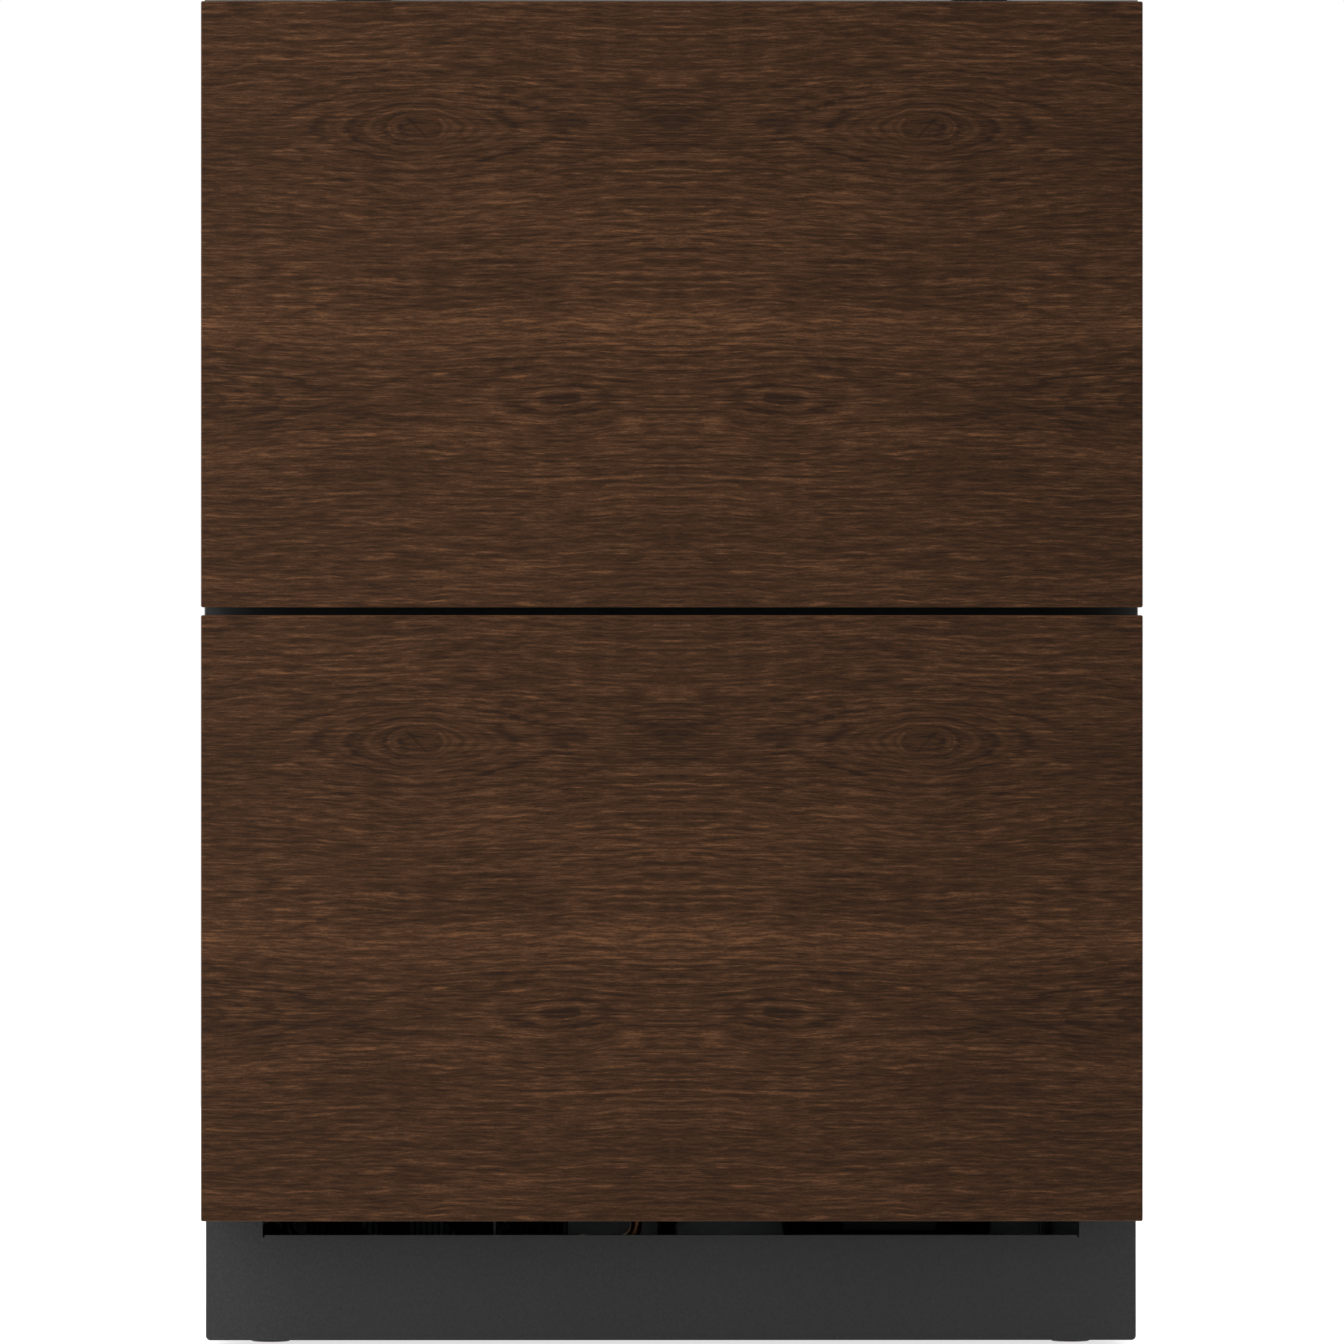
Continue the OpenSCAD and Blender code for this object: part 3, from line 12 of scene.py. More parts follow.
import bmesh
import bpy
import numpy as np
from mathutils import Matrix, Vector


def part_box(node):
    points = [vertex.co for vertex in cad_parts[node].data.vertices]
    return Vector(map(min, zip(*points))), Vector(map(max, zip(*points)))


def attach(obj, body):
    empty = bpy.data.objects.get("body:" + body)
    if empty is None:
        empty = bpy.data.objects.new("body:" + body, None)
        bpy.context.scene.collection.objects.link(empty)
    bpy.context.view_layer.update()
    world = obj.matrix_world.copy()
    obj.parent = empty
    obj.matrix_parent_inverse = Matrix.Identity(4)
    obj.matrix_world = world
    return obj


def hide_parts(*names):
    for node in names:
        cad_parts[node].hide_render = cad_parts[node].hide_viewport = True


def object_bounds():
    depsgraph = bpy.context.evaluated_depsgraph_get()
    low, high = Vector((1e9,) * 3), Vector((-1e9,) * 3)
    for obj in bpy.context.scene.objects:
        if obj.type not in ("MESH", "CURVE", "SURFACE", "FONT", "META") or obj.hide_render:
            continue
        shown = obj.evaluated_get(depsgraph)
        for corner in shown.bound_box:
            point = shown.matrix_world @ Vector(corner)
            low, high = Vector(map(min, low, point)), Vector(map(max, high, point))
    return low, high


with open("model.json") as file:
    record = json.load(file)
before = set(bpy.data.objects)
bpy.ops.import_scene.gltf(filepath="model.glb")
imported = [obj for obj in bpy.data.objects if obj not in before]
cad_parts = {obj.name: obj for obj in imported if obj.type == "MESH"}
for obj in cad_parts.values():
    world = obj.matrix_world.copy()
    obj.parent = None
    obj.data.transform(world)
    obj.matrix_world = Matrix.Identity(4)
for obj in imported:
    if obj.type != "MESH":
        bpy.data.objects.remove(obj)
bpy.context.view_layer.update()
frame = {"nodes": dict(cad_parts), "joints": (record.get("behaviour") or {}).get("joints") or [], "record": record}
BODIES = frame["record"]["behaviour"]["bodies"]
BODY_OF = {node: body for body, nodes in BODIES.items() for node in nodes}
AXLE = {joint["child"]: joint["pos_m"] for joint in frame["joints"] if "pos_m" in joint}

# %% [markdown]
# ## Camera
# The photograph was taken straight from the front through a long lens, so the panels show no
# perspective. A short lens close by would show the sides of the cabinet. The distance comes from
# how far the set-back kick plate shrinks, and the focal length then follows from the width of the
# view at the panels.

# %% Camera
VIEW_DISTANCE, VIEW_WIDTH, VIEW_HEIGHT, CAMERA_X = 7.6, 0.8646, 0.4384, -0.05
FRONT_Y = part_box("upper_panel")[0].y
camera = bpy.data.objects.new("camera", bpy.data.cameras.new("camera"))
bpy.context.scene.collection.objects.link(camera)
camera.location = (CAMERA_X, FRONT_Y - VIEW_DISTANCE, VIEW_HEIGHT)
camera.rotation_euler = (math.pi / 2, 0, math.atan2(camera.location.x, VIEW_DISTANCE))
camera.data.lens = camera.data.sensor_width * VIEW_DISTANCE / VIEW_WIDTH
camera.data.clip_end = 60
bpy.context.scene.camera = camera
print("focal length", round(camera.data.lens, 1), "mm")

# %% [markdown]
# ## Light
# A product shot has a white room and one large lamp. Here that lamp stands to the left, which is
# why the wood is lighter at its left edge. A tall lamp keeps the light even from top to bottom.
# One strong lamp would burn out in the steel that mirrors it, so most of its power comes from a
# twin at the same place that reflections leave out. The room itself is white for the camera and
# for reflections, and gives half of the light that falls on the parts, so a colour comes out
# about as it is written.

# %% Light
ROOM_LIGHT = 0.50
world = bpy.data.worlds.new("white_room")
bpy.context.scene.world = world
world.use_nodes = True
room = world.node_tree
ray = room.nodes.new("ShaderNodeLightPath").outputs
white = ray["Is Camera Ray"]
for kind in ("Is Glossy Ray", "Is Transmission Ray"):
    either = room.nodes.new("ShaderNodeMath")
    either.operation = "MAXIMUM"
    room.links.new(white, either.inputs[0])
    room.links.new(ray[kind], either.inputs[1])
    white = either.outputs[0]
level = room.nodes.new("ShaderNodeMapRange")
level.inputs["To Min"].default_value, level.inputs["To Max"].default_value = ROOM_LIGHT, 1.0
room.links.new(white, level.inputs["Value"])
room.nodes["Background"].inputs["Color"].default_value = (1, 1, 1, 1)
room.links.new(level.outputs[0], room.nodes["Background"].inputs["Strength"])


def lamp(name, place, target, size, power, in_gloss=True):
    """A rectangular soft box at a place, turned towards a target, with or without a reflection."""
    data = bpy.data.lights.new(name, "AREA")
    data.shape, data.energy = "RECTANGLE", power
    data.size, data.size_y = size
    o = bpy.data.objects.new(name, data)
    bpy.context.scene.collection.objects.link(o)
    dx, dy, dz = np.array(target, float) - np.array(place, float)
    o.location = place
    o.rotation_euler = (math.atan2(np.hypot(dx, dy), -dz), 0, math.atan2(dy, dx) - math.pi / 2)
    o.visible_camera, o.visible_glossy = False, in_gloss
    print(name, "at", place)


KEY = dict(place=(-0.9, -0.9, 0.62), target=(-0.1, FRONT_Y, 0.42), size=(1.3, 2.3))
lamp("key_lamp", **KEY, power=7)
lamp("key_lamp_matte", **KEY, power=17.5, in_gloss=False)
lamp("back_lamp", place=(1.6, 2.2, 1.6), target=(0, 0, 0.4), size=(1.4, 1.4), power=22)

# %% [markdown]
# ## Shaping
# Most parts of a refrigerator are bent, turned, drawn or extruded, and each of these is a profile
# carried along a path. One way in Blender is to add a primitive and pull it about, but then the
# size sits in a row of clicks. Here each shape is a grid of points worked out with numpy: one
# parameter runs round the profile and the other along the path. The grid becomes a closed skin.

# %% Skins from rings
HAIR = 0.0001  # turned profiles end a hair off the axis, so that no cap is only a line


def skin(rings, closed=False):
    """Skin over a stack of rings, shape (stack, around, 3). Point (i, j) joins its neighbours round
    the ring and in the stack. Flat caps close both ends unless the stack returns to its start."""
    stack, around = rings.shape[:2]
    i = np.arange(stack if closed else stack - 1)[:, None]
    j = np.arange(around)[None, :]
    near, far, step = i * around, (i + 1) % stack * around, (j + 1) % around
    quads = np.stack([near + j, near + step, far + step, far + j], -1).reshape(-1, 4)
    caps = [] if closed else [np.arange(around)[::-1], np.arange(around) + (stack - 1) * around]
    points = rings.reshape(-1, 3)
    a, b, c, d = (points[quads[:, k]] for k in range(4))
    volume = np.sum(np.cross(b, c) * a) + np.sum(np.cross(c, d) * a)
    for cap in caps:
        fan = points[cap]
        volume += np.sum(np.cross(fan[1:-1], fan[2:]) * fan[0])
    if volume < 0:
        quads, caps = quads[:, ::-1], [cap[::-1] for cap in caps]
    return points, quads, caps


def turned(profile, centre, axis="z", sides=40, shape=None, closed=False):
    """Turns rows of (radius, height) about an axis through the centre. A third number w in a row
    mixes in another outline: r(t) = radius (1 - w + w shape(t))."""
    r, h, w = np.array([(*row, 0.0)[:3] for row in profile], float).T[:, :, None]
    t = np.linspace(0, 2 * math.pi, sides, endpoint=False)[None]
    r, h = r * (1 - w + w * (shape(t) if shape else 1)), h + 0 * t
    u, v = r * np.cos(t), r * np.sin(t)
    rings = {"z": (u, v, h), "y": (u, h, v), "-y": (u, -h, v), "x": (h, u, v), "-x": (-h, u, v)}[axis]
    return skin(np.stack(rings, -1) + np.array(centre), closed)


def rounded_path(points, bend, steps=6):
    """A line through the points with every corner replaced by an arc: near a corner the line is
    c + bend (cos a (u) + sin a (v)), which meets both straight runs without a kink."""
    points = [np.array(p, float) for p in points]
    line = [points[0]]
    for before, here, after in zip(points, points[1:], points[2:]):
        u, v = here - before, after - here
        u, v = u / np.linalg.norm(u), v / np.linalg.norm(v)
        a = np.linspace(0, math.pi / 2, steps)[:, None]
        line.extend(here + bend * ((np.sin(a) - 1) * u + (1 - np.cos(a)) * v))
    return np.array(line + [points[-1]])


def tube(path, radius, sides=16):
    """A circle of the radius carried along a path. The circle stands square to the path's
    direction T on N = T x s and B = T x N, where s is a slanted line no run is parallel to."""
    path = np.array(path, float)
    T = np.gradient(path, axis=0)
    T /= np.linalg.norm(T, axis=1)[:, None]
    N = np.cross(T, (0.53, 0.71, 0.46))
    N /= np.linalg.norm(N, axis=1)[:, None]
    B = np.cross(T, N)
    t = np.linspace(0, 2 * math.pi, sides, endpoint=False)
    r = np.broadcast_to(radius, len(path))[:, None, None]
    round_it = np.cos(t)[None, :, None] * N[:, None] + np.sin(t)[None, :, None] * B[:, None]
    return skin(path[:, None] + r * round_it)


def oblong(x, z, r, per_corner=6):
    """Rounded rectangle as (x, z) points: a quarter circle of radius r in each corner of the spans."""
    a = np.linspace(0, math.pi / 2, per_corner)
    corners = [(x[1], z[1], 0), (x[0], z[1], 1), (x[0], z[0], 2), (x[1], z[0], 3)]
    out = []
    for cx, cz, turn in corners:
        t = a + turn * math.pi / 2
        sx, sz = (-1 if cx == x[1] else 1), (-1 if cz == z[1] else 1)
        out.append(np.stack([cx + sx * r + r * np.cos(t), cz + sz * r + r * np.sin(t)], -1))
    return np.concatenate(out)


def nested(u, v, rings, corner, least, axis):
    """A skin over oblongs of the spans u and v, from (inset, height) pairs. Corner radii shrink with
    the inset, down to the least one. The heights lie along the axis, 1 for y and 2 for z."""
    out = []
    for inset, height in rings:
        u_in, v_in = (u[0] + inset, u[1] - inset), (v[0] + inset, v[1] - inset)
        out.append(np.insert(oblong(u_in, v_in, max(corner - inset, least)), axis, height, axis=1))
    return skin(np.array(out))


def slab(x, y, z, r, edge, steps=3):
    """A board in the xz plane with corner radius r and rounded edges. Its rings are oblongs that
    shrink by edge (1 - sin a) while they move edge (1 - cos a) into the board."""
    a = np.linspace(0, math.pi / 2, steps)
    rings = [(edge * (1 - math.sin(k)), y[0] + edge * (1 - math.cos(k))) for k in a]
    rings += [(edge * (1 - math.sin(k)), y[1] - edge * (1 - math.cos(k))) for k in a[::-1]]
    return nested(x, z, rings, r, 0.0001, 1)


def folded(points, thickness, bend, steps=5):
    """Section of a folded sheet: the rounded line through 2-D points, moved by half the thickness
    to one side and back along the other, as a closed loop."""
    line = rounded_path(points, bend, steps)
    T = np.gradient(line, axis=0)
    T /= np.linalg.norm(T, axis=1)[:, None]
    left = np.stack([-T[:, 1], T[:, 0]], -1) * thickness / 2
    return np.concatenate([line + left, (line - left)[::-1]])


def carried(section, axis, span):
    """A closed 2-D section carried straight along x, y or z, from one end of the span to the other."""
    section = np.array(section, float)
    return skin(np.stack([np.insert(section, "xyz".index(axis), at, axis=1) for at in span]))


def blocks(lows, highs):
    """Many small blocks at once, from arrays of their lowest and highest corners."""
    lows, highs = np.atleast_2d(lows), np.atleast_2d(highs)
    pick = np.array([[0, 0, 0], [1, 0, 0], [1, 1, 0], [0, 1, 0],
                     [0, 0, 1], [1, 0, 1], [1, 1, 1], [0, 1, 1]])
    points = np.where(pick, highs[:, None], lows[:, None]).reshape(-1, 3)
    faces = np.array([[0, 3, 2, 1], [4, 5, 6, 7], [0, 1, 5, 4],
                      [1, 2, 6, 5], [2, 3, 7, 6], [3, 0, 4, 7]])
    return points, (faces + 8 * np.arange(len(lows))[:, None, None]).reshape(-1, 4), []


def mirrored(solids):
    """The solids and their mirror images at the other side of the middle plane, faces turned back out."""
    return solids + [(p * (-1, 1, 1), q[:, ::-1], [c[::-1] for c in caps]) for p, q, caps in solids]


def solids_of(node):
    """Boxes of a node's separate solids as (low, high). Every point starts with its own label, and
    triangles hand on the lowest label among their corners until nothing changes."""
    mesh = frame["nodes"][node].data
    at, corner = np.empty(len(mesh.vertices) * 3), np.empty(len(mesh.loops), int)
    mesh.vertices.foreach_get("co", at)
    mesh.loops.foreach_get("vertex_index", corner)
    points, same = np.unique(at.reshape(-1, 3), axis=0, return_inverse=True)
    triangles = same.ravel()[corner].reshape(-1, 3)
    label, before = np.arange(len(points)), None
    while before is None or (label != before).any():
        before = label.copy()
        np.minimum.at(label, triangles.ravel(), np.repeat(label[triangles].min(1), 3))
    return [(points[label == k].min(0), points[label == k].max(0)) for k in np.unique(label)]

# %% [markdown]
# ## From points to pieces
# A piece joins one or more skins into a mesh, takes its finish, and is tied to the body that it
# moves with. Edges are marked sharp where the surface turns quickly, so turned parts look round
# and folded parts keep their corners. A narrow bevel gives metal edges the thin highlight that
# they have in real light.

# %% Pieces
EDGE_STEPS, EDGE_ANGLE, SHARP = 2, math.radians(40), 35


def finished(name, mesh, finish, stands_for, body, bevel, sharp):
    """Gives a mesh its finish, smooth faces, bevel and body, and hides the parts it stands for."""
    mesh.materials.clear()
    mesh.materials.append(finish)
    mesh.polygons.foreach_set("use_smooth", np.ones(len(mesh.polygons), bool))
    mesh.set_sharp_from_angle(angle=math.radians(sharp))
    o = bpy.data.objects.new(name, mesh)
    bpy.context.scene.collection.objects.link(o)
    if bevel:
        m = o.modifiers.new("edges", "BEVEL")
        m.width, m.segments, m.limit_method, m.angle_limit = bevel, EDGE_STEPS, "ANGLE", EDGE_ANGLE
        m.harden_normals = True
    body = body or BODY_OF[stands_for[0]]
    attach(o, body)
    if stands_for:
        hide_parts(*stands_for)
    print(name, len(mesh.polygons), "faces on", body)
    return o


def piece(name, solids, finish, stands_for=(), body=None, bevel=0, sharp=SHARP):
    """Joins skins into one mesh and finishes it. The piece moves with the parts it stands for."""
    points, faces, offset = [], [], 0
    for p, quads, caps in solids:
        points.append(p)
        faces += (quads + offset).tolist() + [(cap + offset).tolist() for cap in caps]
        offset += len(p)
    mesh = bpy.data.meshes.new(name)
    mesh.from_pydata(np.concatenate(points), [], faces)
    mesh.update()
    return finished(name, mesh, finish, stands_for, body, bevel, sharp)


FOLD = 0.0004  # bevel along the edges of folded sheet
SAME_POINT, SAME_PLANE = 2e-6, 0.004


def dressed(node, finish, bevel=FOLD):
    """A merged copy of a drawn part, its flat faces joined, with bevelled edges."""
    bm = bmesh.new()
    bm.from_mesh(frame["nodes"][node].data)
    bmesh.ops.remove_doubles(bm, verts=bm.verts, dist=SAME_POINT)
    bmesh.ops.dissolve_limit(bm, angle_limit=SAME_PLANE, verts=bm.verts, edges=bm.edges)
    mesh = bpy.data.meshes.new(node + ".skin")
    bm.to_mesh(mesh)
    bm.free()
    return finished(node + ".skin", mesh, finish, [node], None, bevel, SHARP)

# %% [markdown]
# ## Finishes
# A finish could be painted as an image, but an image has a fixed sharpness and shows its edges
# on large panels. Patterns that are worked out from the place on the part stay crisp at any
# distance. The class below writes such patterns as sums, products and noises. Each noise may be
# stretched, and that is the whole trick behind brushed steel and wood fibres.

# %% Pattern maker
class Finish:
    """A material made of patterns. Its methods add one node each and return that node's output."""

    def __init__(self, name, rough=0.5, metal=0.0, **sockets):
        self.material = bpy.data.materials.new(name)
        self.material.use_nodes = True
        self.tree = self.material.node_tree
        self.shader = self.tree.nodes["Principled BSDF"]
        self.shader.inputs["Roughness"].default_value = rough
        self.shader.inputs["Metallic"].default_value = metal
        for socket, value in sockets.items():
            self.shader.inputs[socket.replace("_", " ")].default_value = value
        self.height = None

    def node(self, kind, *values, **settings):
        """Adds a node, sets its settings, and feeds its inputs with numbers or other outputs."""
        n = self.tree.nodes.new(kind)
        for key, value in settings.items():
            setattr(n, key, value)
        for place, value in enumerate(values):
            self.feed(n.inputs[place], value)
        return n

    def feed(self, socket, value):
        """Links an output to a socket, or writes a plain value into it."""
        if isinstance(value, bpy.types.NodeSocket):
            self.tree.links.new(value, socket)
        elif value is not None:
            socket.default_value = value

    def sum(self, *terms):
        """Adds the terms up."""
        total = terms[0]
        for term in terms[1:]:
            total = self.node("ShaderNodeMath", total, term, operation="ADD").outputs[0]
        return total

    def times(self, *terms):
        """Multiplies the terms."""
        total = terms[0]
        for term in terms[1:]:
            total = self.node("ShaderNodeMath", total, term, operation="MULTIPLY").outputs[0]
        return total

    def math(self, operation, *terms):
        """One Math node with the given operation."""
        return self.node("ShaderNodeMath", *terms, operation=operation).outputs[0]

    def place(self):
        """The point on the part, in metres, as x, y and z."""
        at = self.node("ShaderNodeTexCoord").outputs["Object"]
        return self.node("ShaderNodeSeparateXYZ", at).outputs

    def noise(self, x, y, z, detail=2.0, rough=0.5):
        """Cloudy noise of a point that was stretched beforehand: larger numbers, finer grain."""
        at = self.node("ShaderNodeCombineXYZ", x, y, z).outputs[0]
        n = self.node("ShaderNodeTexNoise")
        self.feed(n.inputs["Vector"], at)
        for socket, value in (("Scale", 1.0), ("Detail", detail), ("Roughness", rough)):
            n.inputs[socket].default_value = value
        return n.outputs["Fac"]

    def grain(self, sx, sy, sz, detail=2.0, rough=0.5):
        """Noise with so many grains per metre along x, y and z of the part."""
        x, y, z = self.place()
        return self.noise(self.times(x, sx), self.times(y, sy), self.times(z, sz), detail, rough)

    def between(self, value, low, high, at_low=0.0, at_high=1.0):
        """Eases from at_low to at_high while the value goes from low to high."""
        return self.node("ShaderNodeMapRange", value, low, high, at_low, at_high,
                         interpolation_type="SMOOTHSTEP").outputs[0]

    def around(self, value, amount):
        """The value's swing about one half, scaled: amount (value - 0.5)."""
        return self.times(self.sum(value, -0.5), amount)

    def colours(self, value, stops):
        """Colours picked by a value from stops of (place, red, green, blue), as on a screen, 0 to 255."""
        ramp = self.node("ShaderNodeValToRGB", value)
        elements = ramp.color_ramp.elements
        while len(elements) < len(stops):
            elements.new(0.5)
        for element, (at, *rgb) in zip(elements, stops):
            element.position, element.color = at, (*map(linear, rgb), 1)
        return ramp.outputs[0]

    def shade(self, value, rgb, swing):
        """One colour, darker by swing at value 0 and lighter by swing at value 1."""
        dark, light = [c * (1 - swing) for c in rgb], [min(c * (1 + swing), 255) for c in rgb]
        return self.colours(value, [(0.0, *dark), (1.0, *light)])

    def edges(self, reach, low=0.02, high=0.3):
        """1 on worn edges and 0 elsewhere: how much the normal turns within reach of a point."""
        soft = self.node("ShaderNodeBevel", reach, samples=4).outputs[0]
        flat = self.node("ShaderNodeNewGeometry").outputs["Normal"]
        turn = self.node("ShaderNodeVectorMath", soft, flat, operation="DOT_PRODUCT").outputs["Value"]
        return self.between(self.math("SUBTRACT", 1.0, turn), low, high)

    def blend(self, factor, first, second):
        """The first colour where the factor is 0 and the second where it is 1."""
        n = self.node("ShaderNodeMix", data_type="RGBA")
        for place, value in ((0, factor), (6, first), (7, second)):
            self.feed(n.inputs[place], value)
        return n.outputs[2]

    def wear(self, colour, rough, bump):
        """Connects colour, roughness and bumps, which are (height, depth in metres) pairs."""
        self.feed(self.shader.inputs["Base Color"], colour)
        self.feed(self.shader.inputs["Roughness"], rough)
        for height, depth in bump:
            step = self.node("ShaderNodeBump")
            step.inputs["Distance"].default_value = depth
            self.feed(step.inputs["Height"], height)
            self.feed(step.inputs["Normal"], self.height)
            self.height = step.outputs[0]
        self.feed(self.shader.inputs["Normal"], self.height)
        return self.material


def linear(c):
    """A screen value from 0 to 255 as the linear value that the shader wants."""
    c /= 255
    return c / 12.92 if c <= 0.04045 else ((c + 0.055) / 1.055) ** 2.4

# %% [markdown]
# ## Wood veneer
# The panels carry a dark veneer whose figure is a row of eyes with rings around them. Such a
# figure comes from a knife that runs beside the pith of a wavy log: where the pith is close the
# rings are small and tight, elsewhere they open into long waves. So the pattern starts from a
# log, with distance to the pith = sqrt(s^2 + h^2), where s is the distance from the row's middle
# line and h the depth of the pith behind the cut. The depth changes along the grain by a drawn
# curve. Two such rows cross each panel, both sides are mirror images as in book-matched veneer,
# and both panels are cut from the same sheet.

# %% Wood veneer
HALF_PANEL = round(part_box("upper_panel")[1].x, 5)
UPPER_ROW, LOWER_ROW = 0.082, 0.256  # the rows of eyes, below the panel's top


def veneer(name):
    """Dark book-matched veneer: rings round two piths, fibres, flecks and streaks along the grain."""
    w = Finish(name, Specular_IOR_Level=0.1)
    uv = w.node("ShaderNodeUVMap", uv_map="veneer").outputs[0]
    across, down, _ = w.node("ShaderNodeSeparateXYZ", uv).outputs
    depth = w.sum(w.place()[1], -FRONT_Y)
    along = w.math("ABSOLUTE", across)
    wander = w.around(w.noise(w.times(along, 9), w.times(down, 26), 3.1), 0.007)
    shiver = w.around(w.noise(w.times(along, 45), w.times(down, 150), 7.7, 1), 0.0014)
    d = w.sum(down, wander, shiver)

    def pith(points):
        """Depth of the pith along the grain, by a drawn curve through (distance, depth) points."""
        deepest = max(depth for _, depth in points)
        n = w.node("ShaderNodeFloatCurve")
        w.feed(n.inputs["Value"], w.times(along, 1 / HALF_PANEL))
        line = n.mapping.curves[0]
        while len(line.points) < len(points):
            line.points.new(0.5, 0.5)
        for point, (at, depth) in zip(line.points, points):
            point.location = (at / HALF_PANEL, depth / deepest)
        n.mapping.update()
        return w.times(n.outputs[0], deepest)

    deep = pith([(0, .0315), (.03, .030), (.06, .0265), (.09, .0215), (.12, .0155), (.145, .0085),
                 (.164, .001), (.183, .0085), (.208, .0165), (.235, .0225), (.265, .026),
                 (HALF_PANEL, .0285)])
    shallow = pith([(0, .0135), (.03, .012), (.055, .006), (.072, .001), (.09, .007), (.12, .013),
                    (.16, .018), (.2, .0205), (.23, .019), (.26, .013), (.285, .006), (HALF_PANEL, .002)])
    s1, s2 = w.sum(d, -UPPER_ROW), w.sum(d, -LOWER_ROW)
    r1 = w.math("SQRT", w.sum(w.times(s1, s1), w.times(deep, deep)))
    r2 = w.math("SQRT", w.sum(w.times(s2, s2), w.times(shallow, shallow)))
    ring = w.math("SMOOTH_MIN", r1, r2, 0.02)
    apart = w.times(d, 9)

    def lean(s, r):
        """Fibres lean away from a pith and run straight further off."""
        return w.times(w.math("DIVIDE", s, r), w.math("SUBTRACT", r, w.math("ABSOLUTE", s)))

    fibre = w.sum(d, w.times(w.sum(lean(s1, r1), lean(s2, r2)), 0.55))
    ragged = w.around(w.noise(w.times(along, 48), w.times(fibre, 620), 5.5, 2, 0.6), 0.0075)
    turns = w.sum(w.times(w.sum(ring, ragged), 175),
                  w.times(w.noise(w.times(along, 9), w.times(ring, 60), apart), 2.2))
    saw = w.math("FRACT", turns)
    late = w.times(w.between(saw, 0.45, 0.85), w.between(saw, 0.88, 1.0, 1.0, 0.0),
                   w.between(w.noise(w.times(along, 10), w.times(ring, 45), apart), 0.34, 0.56, 0.2, 1.0),
                   w.between(ring, 0.022, 0.055, 1.0, 0.25), w.between(d, 0.17, 0.21, 1.0, 0.8))
    near_eye = w.between(r1, 0.015, 0.027, 1.0, 0.0)
    fine_saw = w.math("FRACT", w.times(w.sum(r1, w.times(ragged, 0.16)), 400))
    eye_rings = w.times(w.between(fine_saw, 0.3, 0.65), w.between(fine_saw, 0.8, 1.0, 1.0, 0.0), near_eye,
                        w.between(r1, 0.004, 0.008), -0.17)
    bands = w.noise(w.times(along, 14), w.times(fibre, 390), apart, 2, 0.6)
    streak = w.noise(w.times(along, 56), w.times(fibre, 510), 4.0, 3, 0.62)
    spark = w.between(w.noise(w.times(along, 38), w.times(fibre, 440), 9.0), 0.58, 0.74)
    fine = w.noise(w.times(along, 420), w.times(fibre, 1500), 2.0, 2, 0.6)
    dash = w.between(w.noise(w.times(along, 95), w.times(fibre, 1150), 12.0, 1), 0.56, 0.66)
    tone = w.noise(w.times(along, 5), w.times(d, 16), 1.7)
    light_band = w.times(w.between(w.math("ABSOLUTE", w.sum(d, -0.212)), 0.004, 0.022, 1.0, 0.0), 0.10)
    crack = w.math("ABSOLUTE", w.sum(s1, w.times(w.sum(along, -0.164), 1.1)))
    knot = w.times(w.between(r1, 0.002, 0.009, 1.0, 0.0), -0.17)
    eye = w.times(w.between(r2, 0.0, 0.007, 1.0, 0.0), -0.22)
    split = w.times(w.between(crack, 0.0005, 0.0022, 1.0, 0.0), w.between(r1, 0.004, 0.010, 1.0, 0.0),
                    -0.24)
    calm = w.between(near_eye, 0.0, 1.0, 1.5, 0.8)
    value = w.sum(0.54, w.times(late, -0.36), eye_rings, w.around(bands, 0.95),
                  w.times(w.sum(streak, -0.5), calm), w.times(spark, 0.28), w.around(fine, 0.6),
                  w.around(tone, 0.4), w.times(dash, -0.2), light_band, knot, eye, split)
    wood = w.colours(value, [(0.0, 37, 22, 13), (0.3, 53, 33, 18), (0.5, 66, 42, 25),
                             (0.7, 81, 54, 35), (1.0, 114, 76, 49)])
    banding = w.shade(w.noise(w.times(across, 18), w.times(down, 18), w.times(depth, 900), 3, 0.6),
                      (58, 38, 25), 0.35)
    rubbed = w.times(w.between(depth, 0.0001, 0.0006), w.between(depth, 0.0009, 0.0016, 1.0, 0.0), 0.4)
    colour = w.blend(rubbed, w.blend(w.between(depth, 0.0004, 0.0011), wood, banding),
                     (*map(linear, (104, 74, 50)), 1))
    pores = w.noise(w.times(along, 150), w.times(fibre, 2600), 6.0, 1, 0.5)
    rough = w.sum(0.46, w.around(streak, 0.16), w.times(w.between(pores, 0.5, 0.7), 0.08))
    return w.wear(colour, rough, [(streak, 0.00012), (w.between(pores, 0.52, 0.68, 1.0, 0.0), 0.00006)])


WOOD = veneer("dark_veneer")
print("veneer nodes", len(WOOD.node_tree.nodes))

# %% [markdown]
# ## Steel, paint, plastic and rubber
# The other finishes differ in a few numbers only: how large the grain is along each axis, how
# much it lightens and darkens the colour, how deep it stands, and whether edges are worn. Brushed
# steel is noise pulled long in the brushing direction, textured paint is noise of about a
# millimetre, and moulded plastic has a grain finer still. One function takes these numbers, so
# that a finish is one line.

# %% Plain finishes
def coating(name, rgb, rough, metal, grain, swing, depth, tone, gloss_swing, worn=None, **sockets):
    """A colour with fine grain and slow changes of tone, its gloss varied by the same grain. The
    grain is a number of grains per metre, or one for each axis. Worn is the colour of bare edges."""
    c = Finish(name, rough, metal, **sockets)
    fine = c.grain(*(grain if isinstance(grain, tuple) else (grain, grain, grain)), 3, 0.55)
    slow = c.grain(7, 7, 5, 2)
    both = swing + tone
    colour = c.shade(c.sum(c.times(fine, swing / both), c.times(slow, tone / both)), rgb, 2.2 * both)
    if worn:
        rubbed = c.times(c.edges(0.0008), c.between(c.grain(130, 130, 130), 0.42, 0.62), 0.8)
        colour = c.blend(rubbed, colour, (*map(linear, worn), 1))
    rough = c.sum(rough, c.around(fine, gloss_swing), c.around(slow, 0.08))
    return c.wear(colour, rough, [(fine, depth)])


